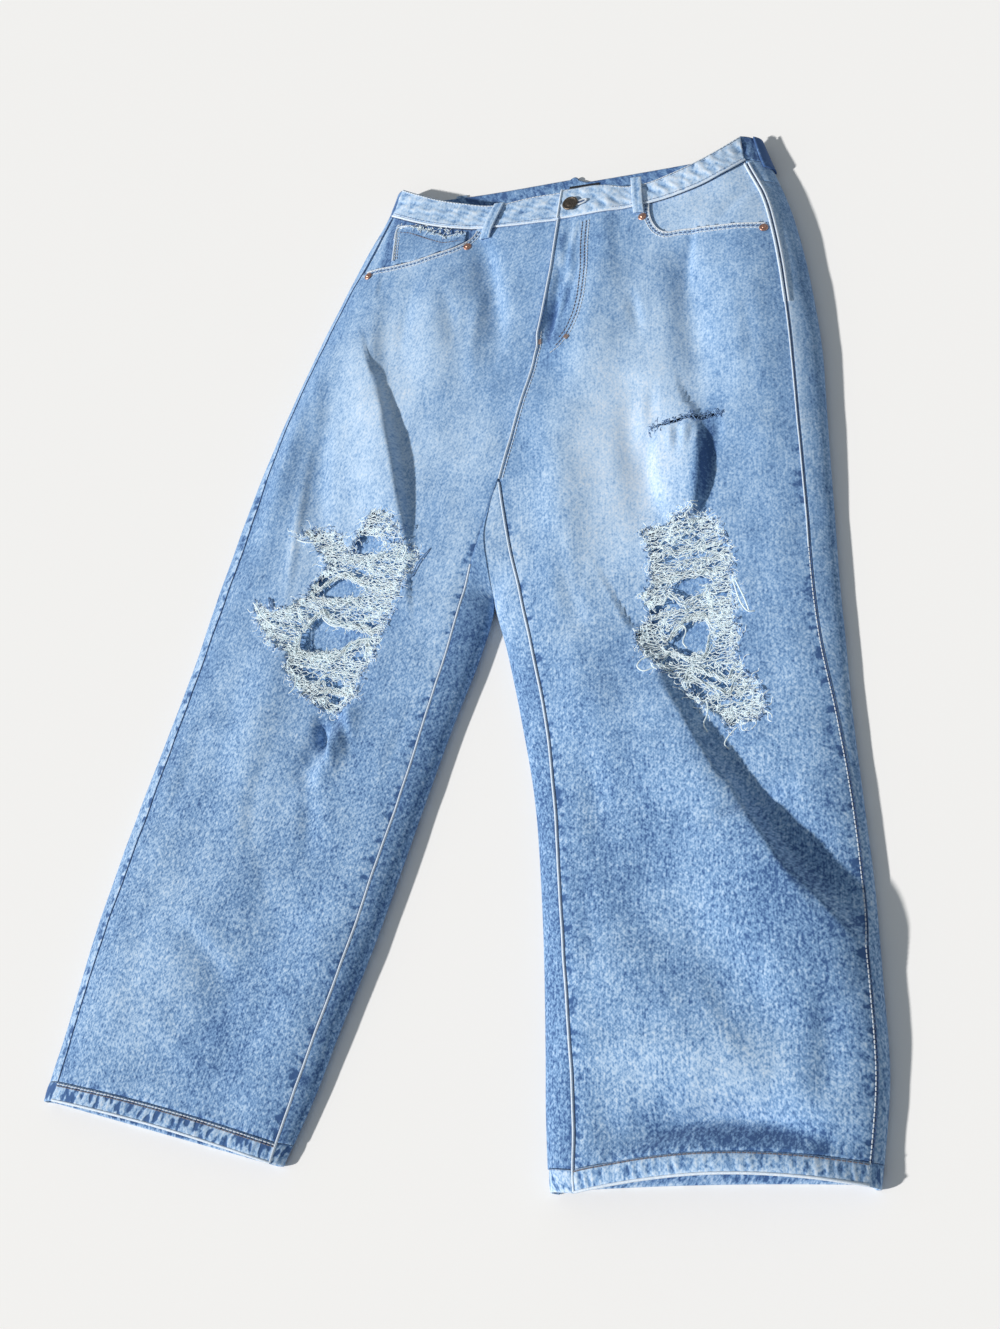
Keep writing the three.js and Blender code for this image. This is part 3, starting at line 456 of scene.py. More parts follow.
class Finish:
    def __init__(self, name, fixed):
        self.material = bpy.data.materials.new(name)
        self.material.use_nodes = True
        self.tree = self.material.node_tree
        self.shader = self.tree.nodes["Principled BSDF"]
        self.feed(fixed)

    def feed(self, sockets, target=None):
        for key, value in sockets.items():
            socket = (target or self.shader).inputs[key]
            if isinstance(value, Value):
                self.tree.links.new(value.socket, socket)
            else:
                socket.default_value = value

    def node(self, kind, settings=None, sockets=None, out=0):
        made = self.tree.nodes.new("ShaderNode" + kind)
        for key, value in (settings or {}).items():
            if key == "stops":
                for i, (place, colour) in enumerate(value):
                    stop = made.color_ramp.elements[i] if i < 2 else made.color_ramp.elements.new(place)
                    stop.position = place
                    stop.color = (*colour, 1)
            else:
                setattr(made, key, value)
        self.feed(sockets or {}, made)
        return Value(self, made.outputs[out])

    def attribute(self, name):
        return self.node("Attribute", {"attribute_name": name}, out="Fac")

    def grain(self, across, along, turn=0.0):
        # the cloth's own map, in units of across and along millimetres, turned off the warp
        uv = self.node("UVMap", {"uv_map": "grain"})
        if turn:
            uv = self.node("VectorRotate", {"rotation_type": "Z_AXIS"}, {"Vector": uv, "Angle": turn})
        scale = (1000 / across, 1000 / along, 1)
        return self.node("VectorMath", {"operation": "MULTIPLY"}, {0: uv, 1: scale})

    def noise(self, place, detail=2.0, rough=0.55, scale=1.0):
        sockets = {"Vector": place, "Scale": scale, "Detail": detail, "Roughness": rough}
        return self.node("TexNoise", {}, sockets)

    def mix(self, share, a, b):
        sockets = {0: share, 6: a, 7: b}
        return self.node("Mix", {"data_type": "RGBA", "clamp_factor": True}, sockets, 2)

    def bump(self, height, depth, strength=1.0):
        normal = self.node("Bump", {}, {"Height": height, "Distance": depth, "Strength": strength})
        self.feed({"Normal": normal})


def colour(red, green, blue):
    # from the eye's scale, 0 to 255, to the renderer's
    return tuple((v / 255) ** 2.2 for v in (red, green, blue)) + (1,)


denimTones = dict(
    dark=colour(58, 94, 146),
    middle=colour(118, 157, 202),
    pale=colour(176, 204, 234),
    bare=colour(212, 226, 242),
)


# millimetres across and along the warp, and a turn off it in radians
weaves = dict(
    streak=(1.7, 13),
    slub=(4.4, 5.6),
    twill=(2.1, 4.4, 0.72),
    weft=(1.9, 4.0, -0.78),
    cloud=(46, 70),
    patch=(14, 22),
    sideBlot=(13, 9),
    hemBlot=(6.5, 15),
)


def denimFinish(name, tones):
    # fade sets the wear and, where it is lowered in seam grooves, creases and fold shadows, painted shade;
    # roping the blots beside a seam, hemming whether they are a hem's, and coarse how open the twill looks
    finish = Finish(name, {"Roughness": 0.92, "Sheen Weight": 0.08, "Sheen Roughness": 0.6})

    def woven(key, detail):
        return finish.noise(finish.grain(*weaves[key]), detail)

    streak, slub = woven("streak", 3), woven("slub", 3)
    twill = woven("twill", 1).between(0.36, 0.64)
    weft = woven("weft", 1).between(0.36, 0.64)
    coarse = finish.attribute("coarse")
    cloud, patch = woven("cloud", 3), woven("patch", 3)
    fade = finish.attribute("fade")
    roping = finish.attribute("roping")
    hemming = finish.attribute("hemming")
    sideBlot = woven("sideBlot", 1).between(0.5, 0.66)
    hemBlot = woven("hemBlot", 1).between(0.48, 0.62)
    blot = sideBlot * (1 - hemming) + hemBlot * hemming
    thread = (streak - 0.5) * 0.8 + (slub - 0.5) * 0.45 + (twill - 0.5) * 0.27 + (weft - 0.5) * 0.27
    mottle = (cloud - 0.5) * 0.6 + (patch - 0.5) * 0.6
    tone = fade + mottle + thread * coarse + roping * (0.12 - blot * 0.8)
    low = finish.mix(tone.between(0.0, 0.5), tones["dark"], tones["middle"])
    mid = finish.mix(tone.between(0.5, 1.0), low, tones["pale"])
    blend = finish.mix(tone.between(1.0, 1.5), mid, tones["bare"])
    finish.feed({"Base Color": blend})
    height = streak * 0.1 + slub * 0.2 + (twill + weft) * 0.08 - roping * blot * 0.6
    finish.bump(height, 0.0006, 0.8)
    return finish.material


# Sheets of cloth


def spaced(stops):
    # places from 0 to 1, with the size of step that holds up to each stop
    places = [0.0]
    for end, step in stops:
        start = places[-1]
        count = max(1, round((end - start) / step))
        places += [start + (end - start) * (k + 1) / count for k in range(count)]
    return np.array(places)


def gridOf(across, down):
    # a flat grid whose vertices give their places u and v, from 0 to 1
    bm = bmesh.new()
    bmesh.ops.create_grid(bm, x_segments=len(across) - 1, y_segments=len(down) - 1, size=0.5)
    co = np.array([v.co[:2] for v in bm.verts])
    column = np.rint((co[:, 0] + 0.5) * (len(across) - 1)).astype(int)
    row = np.rint((0.5 - co[:, 1]) * (len(down) - 1)).astype(int)
    return bm, np.asarray(across)[column], np.asarray(down)[row], column, row


def outlineDistance(x, y, outline):
    # distance to an outline, below 0 inside it, and the nearest point of it
    corners = np.array(outline, float)
    best = np.full(x.shape, np.inf)
    nearX, nearY = np.zeros_like(x), np.zeros_like(x)
    inside = np.zeros(x.shape, bool)
    for (ax, ay), (bx, by) in zip(corners, np.roll(corners, -1, axis=0)):
        dx, dy = bx - ax, by - ay
        t = np.clip(((x - ax) * dx + (y - ay) * dy) / (dx * dx + dy * dy + 1e-9), 0, 1)
        px, py = ax + t * dx, ay + t * dy
        distance = np.hypot(x - px, y - py)
        closer = distance < best
        best = np.where(closer, distance, best)
        nearX, nearY = np.where(closer, px, nearX), np.where(closer, py, nearY)
        crosses = (ay > y) != (by > y)
        if dy != 0:
            inside ^= crosses & (x < ax + (y - ay) * dx / dy)
    return np.where(inside, -best, best), nearX, nearY


def ragged(outline, step, wander, seed):
    # the outline again with uneven, worn sides
    chance = random.Random(seed)
    corners = [np.array(p, float) for p in outline]
    made = []
    drift = 0.0
    for a, b in zip(corners, corners[1:] + corners[:1]):
        long = float(np.hypot(*(b - a)))
        side = np.array([-(b - a)[1], (b - a)[0]]) / max(long, 1e-6)
        count = max(1, int(long / step))
        for k in range(count):
            drift = 0.55 * drift + chance.gauss(0, wander)
            made.append(a + (b - a) * k / count + side * drift)
    return made


def trimmed(bm, x, y, outline, reach, side):
    # moves the nearest vertices onto an outline and takes out the faces inside it (side 1) or
    # outside it (side -1)
    distance, nearX, nearY = outlineDistance(x, y, outline)
    near = np.abs(distance) < reach
    x, y = np.where(near, nearX, x), np.where(near, nearY, y)
    distance = np.where(near, 0, distance) * side
    gone = [f for f in bm.faces if sum(distance[v.index] for v in f.verts) < -1e-6]
    bmesh.ops.delete(bm, geom=gone, context="FACES_ONLY")
    return x, y


def cutAway(bm, x, y, outline, reach):
    return trimmed(bm, x, y, outline, reach, 1)


def keepWithin(bm, x, y, outline, reach):
    return trimmed(bm, x, y, outline, reach, -1)


def meshOf(bm, name):
    mesh = bpy.data.meshes.new(name)
    bm.to_mesh(mesh)
    bm.free()
    return mesh


def objectOf(mesh, finish, smoothFaces=True):
    if smoothFaces:
        mesh.polygons.foreach_set("use_smooth", np.ones(len(mesh.polygons), bool))
    mesh.materials.append(finish)
    obj = bpy.data.objects.new(mesh.name, mesh)
    bpy.context.scene.collection.objects.link(obj)
    return obj


def sheetObject(name, bm, points, grain, values, cloth, flip, finish):
    # gives the grid its places and its maps, and its thickness inwards
    for v, point in zip(bm.verts, toRow(points)):
        v.co = point
    count = len(bm.verts)
    keep = [v.index for v in bm.verts if v.link_faces]
    loose = [v for v in bm.verts if not v.link_faces]
    if loose:
        bmesh.ops.delete(bm, geom=loose, context="VERTS")
    if flip:
        bmesh.ops.reverse_faces(bm, faces=bm.faces[:])
    mesh = meshOf(bm, name)
    picked = np.array(keep)
    corner = np.zeros(len(mesh.loops), int)
    mesh.loops.foreach_get("vertex_index", corner)
    uv = mesh.uv_layers.new(name="grain")
    uv.data.foreach_set("uv", (np.asarray(grain)[picked][corner] / 1000).ravel())
    coarse = 1 + 0.6 * smooth(-np.asarray(points)[:, 1], -150, 450)  # the legs' twill looks coarser
    for key, value in {**values, "coarse": coarse}.items():
        layerData = mesh.attributes.new(key, "FLOAT", "POINT")
        layerData.data.foreach_set("value", np.broadcast_to(value, (count,))[picked].astype(np.float32))
    obj = objectOf(mesh, finish)
    wall = obj.modifiers.new("cloth", "SOLIDIFY")
    wall.thickness = cloth / 1000
    wall.offset = -1
    wall.use_rim = True
    return obj


def legFrame(leg):
    # the ways across and along the warp
    c, s = math.cos(leg.grain), math.sin(leg.grain)
    return np.array([c, s]), np.array([-s, c])


def grainOf(leg, x, y):
    across, along = legFrame(leg)
    return np.stack([across[0] * x + across[1] * y, along[0] * x + along[1] * y], axis=1)


def legGrain(leg, column, row, points):
    # for a sheet that rolls: along the row by its length on the cloth, and down the leg by its place
    order = np.lexsort((column, row))
    rows = points[order].reshape(row.max() + 1, column.max() + 1, 3)
    steps = np.sqrt((np.diff(rows, axis=1) ** 2).sum(2))
    length = np.concatenate([np.zeros((len(rows), 1)), np.cumsum(steps, axis=1)], axis=1)
    across = np.empty(len(points))
    across[order] = length.ravel()
    down = grainOf(leg, points[:, 0], points[:, 1])[:, 1]
    return np.stack([leg.sign * across, down], axis=1)


plainFade = 0.56

# Where the denim is worn pale or stays dark, and where dark entries paint the shade beside the left thigh
# puff, above the left hem, in the left shin fold's shadow and under the right rip: x, y, half width, half
# length, change
fadeAndShadePatches = [
    (150, 90, 70, 150, 0.3), (150, -20, 60, 70, 0.25), (90, -130, 34, 120, 0.12),
    (215, -330, 60, 70, 0.14), (-150, 60, 60, 150, 0.36), (-215, -90, 46, 90, 0.2),
    (-225, -290, 60, 90, 0.16), (-300, -520, 60, 90, 0.2), (330, -560, 70, 40, 0.16),
    (180, -560, 46, 70, 0.12), (30, 180, 14, 50, -0.4), (0, 60, 30, 60, -0.1), (201, 4, 9, 50, -0.95),
    (270, -611, 50, 9, -0.45), (332, -606, 30, 9, -0.35), (215, -626, 26, 6, -0.25),
    (-236, -40, 4, 70, 0.3), (32, 226, 16, 60, 0.08), (21, 172, 4, 24, -0.6), (22, 272, 4, 16, -0.4),
    (34, 250, 4, 14, -0.35), (24, 228, 4, 12, -0.35), (36, 206, 4, 16, -0.3), (32, 278, 4, 12, 0.3),
    (22, 250, 4, 10, 0.35), (33, 228, 4, 9, 0.3), (29, 190, 4, 14, 0.3), (-49, 35, 44, 70, 0.26),
    (-115, 180, 44, 50, 0.16), (91, 34, 50, 70, 0.2), (-49, -171, 24, 80, 0.15),
    (14, -130, 20, 80, 0.36), (87, 80, 60, 100, 0.26), (-181, 130, 50, 90, 0.22),
    (-42, -120, 30, 90, 0.24), (110, -90, 50, 80, 0.2), (14, -130, 14, 70, 0.3),
    (-60, 190, 50, 60, 0.1), (80, 210, 40, 50, 0.08), (185, -370, 60, 60, -0.26),
    (110, -189, 44, 60, -0.1), (255, -570, 60, 34, 0.16), (322, -410, 50, 76, -0.25),
    (350, -540, 26, 60, -0.2), (-150, -262, 20, 24, -0.3), (-190, -560, 50, 34, -0.16),
    (190, 330, 60, 30, 0.16), (-160, 330, 60, 26, 0.12), (180, -600, 90, 22, -0.12),
    (-210, -600, 80, 26, -0.1),
]


def fadeAndShadeAt(x, y):
    total = np.full(np.shape(x), plainFade)
    for px, py, wide, long, change in fadeAndShadePatches:
        total += change * np.exp(-(((x - px) / wide) ** 2) - ((y - py) / long) ** 2)
    return total


def keepPiece(obj, slotName, *nodes):
    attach(obj, "root")
    if nodes:
        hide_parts(*nodes)
    return obj


# Front panels

fronts = dict(
    wide=300,  # roughly, for the steps between vertices
    long=1000,
    edgeBand=12,
    edgeStep=1.3,
    step=3.1,
    downStep=3.4,
    ripStep=2.1,
    slitStep=1.3,
    fray=1.3,  # how far the worn edges of a rip wander
    frayStep=3,
    groove=0.7,  # how far a seam sinks
    grooveWide=1.6,
)

leftMouth = [(111, 312), (113, 296), (117, 284), (124, 273), (133, 267), (145, 269), (187, 267), (238, 265)]
rightMouth = [(-84, 306), (-87, 298), (-94, 290), (-106, 284), (-146, 275), (-180, 272), (-214, 272)]
coinOutline = [
    (-186, 328), (-164, 324), (-138, 311), (-119, 302), (-96, 304), (-95, 291.5), (-107, 285), (-147, 276),
    (-181, 273),
]
rightRip = [
    (-244, -44), (-207, -41), (-192, -47), (-174, -60), (-168, -76), (-158, -49), (-147, -31),
    (-129, -33), (-111, -54), (-102, -71), (-90, -76), (-93, -91), (-101, -110), (-107, -135),
    (-116, -162), (-118, -184), (-129, -204), (-130, -225), (-141, -236), (-155, -244), (-170, -238),
    (-196, -220), (-213, -201), (-216, -180), (-244, -165), (-258, -142), (-268, -125), (-247, -132),
    (-226, -127), (-207, -117), (-203, -104), (-190, -88), (-197, -70), (-221, -52),
]
leftRip = [
    (143, -65), (167, -63), (187, -50), (208, -53), (221, -70), (233, -95), (235, -114), (241, -135),
    (240, -157), (249, -176), (246, -198), (267, -221), (277, -243), (274, -255), (260, -257),
    (248, -266), (236, -249), (213, -237), (197, -216), (174, -203), (152, -182), (152, -171),
    (161, -160), (162, -148), (152, -133), (160, -124), (158, -105), (154, -84),
]
slitOutline = [
    (138, 41), (150, 46.5), (164, 47.5), (181, 52.5), (189, 51.5), (200, 53.5), (214, 51),
    (200, 49.5), (190, 46), (180, 48), (164, 43.5), (150, 43),
]

blueDenim = denimFinish("washed denim", denimTones)


def mouthArea(leg, mouth):
    first, last = mouth[0], mouth[-1]
    beyond = last[0] + leg.sign * 40
    return [(first[0], first[1] + 40), *mouth, (beyond, last[1]), (beyond, first[1] + 60)]


def frontPlaces(leg, u, v):
    lap = u < 0
    s = np.maximum(u, 0)
    top = waistSeam(s) - form["gap"]
    low = leg.frontHem(s) + form["hemTall"] + form["hemGap"]
    y = lerp(top, low, v)
    x = frontX(leg, s, y) - np.where(lap, lapAt(leg, y), 0)
    return x, y


def frontHeight(leg, x, y, height=0.0):
    z = topHeight(leg, x, y) + height
    if leg.sign > 0:
        z = z + lapRise(leg, x, y, form["flyLow"], form["cloth"] + form["gap"])
    return z


def makeFront(leg, mouth, rip, cuts, seed):
    size = fronts
    wide, long = size["wide"], size["long"]
    band, edge, middle = size["edgeBand"] / wide, size["edgeStep"] / wide, size["step"] / wide
    across = spaced([(band, edge), (1 - band, middle), (1, edge)])
    if leg.sign > 0:
        across = np.concatenate([[-0.01], across])
    plain = size["downStep"] / long
    slitRows = [(0.262, plain), (0.302, size["slitStep"] / long)] if cuts else []
    down = spaced([*slitRows, (0.33, plain), (0.64, size["ripStep"] / long), (1, plain)])
    bm, u, v, *_ = gridOf(across, down)
    x, y = frontPlaces(leg, u, v)
    innerAway = np.where(y < 0, leg.sign * (x - leg.innerSeam(y)), 99)
    seamAway = np.minimum(innerAway, leg.sign * (leg.seam(y) - x))
    x, y = cutAway(bm, x, y, mouthArea(leg, mouth), 1.7)
    x, y = cutAway(bm, x, y, ragged(rip, size["frayStep"], size["fray"], seed), 1.4)
    for cut in cuts:
        x, y = cutAway(bm, x, y, cut, 0.9)
    z = frontHeight(leg, x, y)
    away = np.clip(seamAway, 0, 99)
    groove = np.exp(-((away / size["grooveWide"]) ** 2))
    z -= size["groove"] * groove
    points = np.stack([x, y, z], axis=1)
    # blots lie along both inner seams, and along the outer seam of the wearer's left leg
    nearInner = leg.sign * (x - leg.innerSeam(y)) < 60
    ropes = np.where(nearInner, smooth(-y, 20, 80), smooth(-y, -40, 40) if leg.sign > 0 else 0.12)
    hemAway = y - (leg.frontHem(np.clip(u, 0, 1)) + form["hemTall"])
    mouthAway, _, _ = outlineDistance(x, y, mouthArea(leg, mouth))
    onMouth = 0.32 * np.exp(-(((mouthAway - 4) / 3.4) ** 2)) * (y > 240)
    values = dict(
        # the groove term paints the shade of the seam's groove into the colour
        fade=fadeAndShadeAt(x, y) + onMouth - 0.1 * np.exp(-((away / 14) ** 2)) - 0.35 * groove,
        roping=np.maximum(1.5 * np.exp(-((away / 8) ** 2)) * ropes, np.exp(-((hemAway / 7) ** 2)) * 0.8),
        hemming=np.where(hemAway < away, 1.0, 0.0),
    )
    name = f"front_{leg.name}_cloth"
    obj = sheetObject(name, bm, points, grainOf(leg, x, y), values, form["cloth"], leg.sign < 0, blueDenim)
    return keepPiece(obj, "denim", f"front_{leg.name}")


makeFront(left, leftMouth, leftRip, [slitOutline], 3)
makeFront(right, rightMouth, rightRip, [], 5)
print("fronts made")

# Back panels roll round both edges of each leg

backs = dict(
    clear=8.5,  # from the raised back up to the front
    reach=34,  # over which the back sinks again beside a rip
    share=0.34,  # of its length that lies above the fork of the legs
    long=1000,
    downStep=5,
)
acrossBack = spaced([(0.5, 0.5 / 46), (0.75, 0.25 / 34), (1, 0.25 / 20)])


def kneeRise(leg, x, y, u, z):
    # the back is puffed up under each rip, close below the front
    rip = leftRip if leg.sign > 0 else rightRip
    away, _, _ = outlineDistance(x, y, rip)
    near = np.exp(-((np.maximum(away - 8, 0) / backs["reach"]) ** 2))
    near = near * smooth(u, 0.5, 0.53) * (1 - smooth(u, 0.72, 0.75))
    return near * np.maximum(topHeight(leg, x, y, fine=False) - backs["clear"] - z, 0)


def makeBack(leg):
    down = spaced([(1, backs["downStep"] / backs["long"])])
    bm, u, v, column, row = gridOf(acrossBack, down)
    outerY = lerp(321, leg.sideLow(), v)
    innerLow = leg.hemLine(0) + form["hemTall"] + form["hemGap"]
    share = backs["share"]
    aboveFold = lerp(262, form["foldY"], v / share)
    belowFold = lerp(form["foldY"], innerLow, (v - share) / (1 - share))
    innerY = np.where(v < share, aboveFold, belowFold)
    x, y, z = backPoint(leg, u, outerY, innerY)
    y = y + floorRecess(leg, u) * smooth(v, 0.9, 1)
    points = np.stack([x, y, z], axis=1)
    grain = legGrain(leg, column, row, points)
    onSeam = np.exp(-((grain[:, 0] / 9) ** 2))
    z = z + kneeRise(leg, x, y, u, z)
    points = np.stack([x, y, z], axis=1)
    paleTop = 0.34 * smooth(y, -40, 120) if leg.sign > 0 else 0
    values = dict(
        fade=0.52 + (0.22 if leg.sign < 0 else 0.16 + paleTop) * onSeam,
        roping=(1.5 if leg.sign < 0 else 0.15) * onSeam * smooth(-y, -120, 0),
        hemming=0.0 * x,
    )
    name = f"back_{leg.name}_cloth"
    obj = sheetObject(name, bm, points, grain, values, form["cloth"], leg.sign < 0, blueDenim)
    return keepPiece(obj, "denim", f"back_{leg.name}")


def floorRecess(leg, c):
    # the back's hem bows up between these two shares of its width
    start, end = 5 / 12, 10 / 12
    across = (c - start) / (end - start)
    return leg.hem["floor"] * np.sin(math.pi * np.clip(across, 0, 1))


def makeInnerStrip(leg):
    bm, u, v, column, row = gridOf(spaced([(1, 1 / 26)]), spaced([(1, 1 / 200)]))
    y = lerp(0, leg.hemLine(0) + form["hemTall"] + form["hemGap"], v)
    x, z = innerStrip(leg, 1 - u, y)
    away = leg.sign * (leg.innerSeam(y) - x)
    z = z - fronts["groove"] * np.exp(-((away / fronts["grooveWide"]) ** 2)) * (y < -10)
    points = np.stack([x, y, z], axis=1)
    grain = legGrain(leg, column, row, points)
    high = smooth(y, -240, -110) if leg.sign > 0 else 0.4 * smooth(y, -180, -80)
    values = dict(
        # the dip beside the seam paints the shade of its groove
        fade=0.36 + 0.42 * high - 0.3 * np.exp(-((away / 1.8) ** 2)),
        roping=0.0 * x,
        hemming=0.0 * x,
    )
    name = f"inner_strip_{leg.name}"
    obj = sheetObject(name, bm, points, grain, values, form["cloth"], leg.sign > 0, blueDenim)
    return keepPiece(obj, "denim")


def makeYoke(leg):
    bm, u, v, column, row = gridOf(acrossBack, spaced([(1, 1 / 14)]))
    outerY = lerp(349 - form["gap"], 321, v)
    innerY = lerp(338 - form["gap"], 262, v)
    x, y, z = backPoint(leg, u, outerY, innerY)
    points = np.stack([x, y, z], axis=1)
    grain = legGrain(leg, column, row, points)
    values = dict(fade=0.66 + 0 * x, roping=0.4 * np.exp(-(((1 - v) * 28 / 5) ** 2)), hemming=1.0 + 0 * x)
    name = f"yoke_{leg.name}_cloth"
    obj = sheetObject(name, bm, points, grain, values, form["cloth"], leg.sign < 0, blueDenim)
    return keepPiece(obj, "denim", f"yoke_{leg.name}")


for leg in (left, right):
    makeBack(leg)
    makeInnerStrip(leg)
    makeYoke(leg)
print("backs made")


# Hems, waistband, loops, pockets and fly

hems = dict(cloth=2.2, proud=0.7, pucker=0.5, frontSteps=150, backSteps=130, stripSteps=14, rows=10)
bands = dict(cloth=2.4, wrinkle=0.55, lapSteps={1: 4, -1: 16}, rows=20)
loops = dict(wide=11.5, cloth=1.8, clear=0.8, flatCloth=1.4, flatTop=1.45)
facings = dict(deep=22, step=2.4)


def seededWaves(seed, count, shortest, longest):
    chance = random.Random(seed)
    waves = []
    for _ in range(count):
        length = chance.uniform(shortest, longest)
        turn = chance.uniform(0, math.pi)
        waves.append((math.cos(turn) / length, math.sin(turn) / length, chance.uniform(0, 6.28)))
    return waves


def waveSum(waves, a, b):
    total = np.zeros_like(a)
    for across, up, start in waves:
        total += np.sin(2 * math.pi * (a * across + b * up) + start)
    return total / math.sqrt(len(waves))


def makeHem(leg):
    size = hems
    frontCount, backCount, stripCount = size["frontSteps"], size["backSteps"], size["stripSteps"]
    total = frontCount + backCount + stripCount
    bm, u, v, column, row = gridOf(np.linspace(0, 1, total + 1), np.linspace(0, 1, size["rows"] + 1))
    place = u * total
    up = form["hemTall"] * (1 - v)
    s = np.clip(place / frontCount, 0, 1)
    s = lerp(s, (1 - np.cos(math.pi * s)) / 2, 0.4)
    yf = leg.frontHem(s) + up
    xf = frontX(leg, s, yf)
    zf = topHeight(leg, xf, yf)
    c = np.clip((place - frontCount) / backCount, 0, 1)
    xb, yb, zb = backPoint(leg, c, leg.hemLine(1) + up, leg.hemLine(0) + up)
    yb = yb + floorRecess(leg, c)
    q = np.clip((place - frontCount - backCount) / stripCount, 0, 1)
    ys = leg.hemLine(0) + up
    xs, zs = innerStrip(leg, 1 - q, ys)
    onFront = place <= frontCount
    onBack = ~onFront & (place <= frontCount + backCount)
    x = np.where(onFront, xf, np.where(onBack, xb, xs))
    y = np.where(onFront, yf, np.where(onBack, yb, ys))
    z = np.where(onFront, zf, np.where(onBack, zb, zs))
    points = np.stack([x, y, z], axis=1)
    grain = legGrain(leg, column, row, points)
    around = np.abs(grain[:, 0])
    ridge = 0 * x
    for count, (_, _, start) in enumerate(seededWaves(31 + leg.sign, 4, 5.5, 8.5)):
        ridge += np.sin(2 * math.pi * (around / (6.1 + 1.3 * count) + 0.02 * up) + start) / 3
    puff = np.sin(math.pi * np.clip(v, 0, 1)) ** 0.5
    lift = (size["proud"] + size["pucker"] * ridge) * puff
    lift = np.where(onFront | ~onBack, lift, np.where(z > 3, lift, 0))
    points[:, 2] += lift
    worn = np.exp(-((up / 2.4) ** 2)) * (0.3 + 0.16 * ridge)
    shown = np.where(onBack & (q <= 0), 0.42, 0.86 if leg.sign > 0 else 0.66)
    inBody = np.sin(math.pi * np.clip(v, 0, 1)) ** 0.4
    blots = (0.75 if leg.sign > 0 else 1.7) * inBody
    values = dict(fade=shown + 0.26 * ridge * inBody + worn, roping=blots, hemming=1.0 + 0 * x)
    name = f"hem_{leg.name}_cloth"
    obj = sheetObject(name, bm, points, grain, values, size["cloth"], leg.sign < 0, blueDenim)
    return keepPiece(obj, "denim", f"hem_{leg.name}")


def bandEdges(v, tall):
    # rounds the folded top edge and the sewn lower edge
    top, low = v * tall, (1 - v) * tall
    return -0.8 * np.exp(-((top / 1.3) ** 2)) - 0.5 * np.exp(-((low / 1.0) ** 2))


def makeFrontBand(leg):
    size = bands
    reach = form["flyLap"] if leg.sign > 0 else form["flyWide"] - 2
    lap = np.linspace(-1, 0, size["lapSteps"][leg.sign] + 1)[:-1]
    across = np.concatenate([lap, spaced([(1, 0.0078)])])
    bm, u, v, *_ = gridOf(across, np.linspace(0, 1, size["rows"] + 1))
    s = np.maximum(u, 0)
    y = lerp(waistTop(leg, s), waistSeam(s), v)
    beyond = np.maximum(-u, 0) * reach
    if leg.sign > 0:
        x = np.where(u < 0, centre(y) - beyond, frontX(leg, s, y))
        z = topHeight(leg, x, y)
    else:
        x = np.where(u < 0, centre(y) + beyond, frontX(leg, s, y))
        z = np.where(u < 0, topHeight(left, x, y), topHeight(leg, x, y))
    z = z + size["cloth"] / 2
    if leg.sign > 0:
        z = z + lapRise(leg, x, y, form["flyLow"], size["cloth"] + form["gap"])
    tall = waistTop(leg, s) - waistSeam(s)
    grain = np.stack([x, y], axis=1)
    wrinkles = waveSum(seededWaves(51 + leg.sign, 9, 7, 20), x + 0.8 * y, y - 0.2 * x)
    pulled = np.sin(math.pi * v) ** 0.5
    z = z + bandEdges(v, tall) + size["wrinkle"] * wrinkles * pulled
    points = np.stack([x, y, z], axis=1)
    onEdge = np.exp(-((v * tall / 3.5) ** 2)) + np.exp(-(((1 - v) * tall / 3.5) ** 2))
    values = dict(
        # paler on the wrinkles' crests as wear, darker in their troughs as painted shade
        fade=(1.06 if leg.sign > 0 else 0.96) + 0.2 * onEdge + 0.3 * wrinkles * pulled,
        roping=0.25 + 0.3 * onEdge,
        hemming=1.0 + 0 * x,
    )
    name = f"waistband_front_{leg.name}_cloth"
    obj = sheetObject(name, bm, points, grain, values, size["cloth"], leg.sign < 0, blueDenim)
    return keepPiece(obj, "denim", f"waistband_front_{leg.name}")


def makeBackBand():
    size = bands
    half = spaced([(0.5, 0.5 / 40), (0.75, 0.25 / 70), (1, 0.25 / 14)]) / 2
    across = np.concatenate([half, 1 - half[::-1][1:]])
    bm, u, v, column, row = gridOf(across, np.linspace(0, 1, 17))
    c = np.where(u <= 0.5, 2 * u, 2 - 2 * u)
    outerY = lerp(form["bandHigh"][1], form["seamHigh"][1], v)
    innerY = outerY - 11
    xl, yl, zl = backPoint(left, c, outerY, innerY)
    xr, yr, zr = backPoint(right, c, outerY, innerY)
    onLeft = u <= 0.5
    x, y, z = np.where(onLeft, xl, xr), np.where(onLeft, yl, yr), np.where(onLeft, zl, zr)
    side = np.abs(2 * u - 1)
    bump = np.where(u > 0.5, 7 * np.exp(-(((side - 0.2) / 0.14) ** 2)), 0)
    y = y + (1 - v) * (bump - 9 * np.sin(math.pi * side) ** 2)
    points = np.stack([x, y, z], axis=1)
    grain = legGrain(left, column, row, points)
    grain[:, 1] = y
    puckers = waveSum(seededWaves(77, 5, 5, 9), grain[:, 0], 0.2 * y)
    points[:, 2] += 0.3 * puckers * np.sin(math.pi * v)
    values = dict(fade=0.28 + 0.1 * puckers, roping=0.5 + 0 * x, hemming=1.0 + 0 * x)
    obj = sheetObject("waistband_back_cloth", bm, points, grain, values, size["cloth"], False, blueDenim)
    return keepPiece(obj, "denim", "waistband_back")


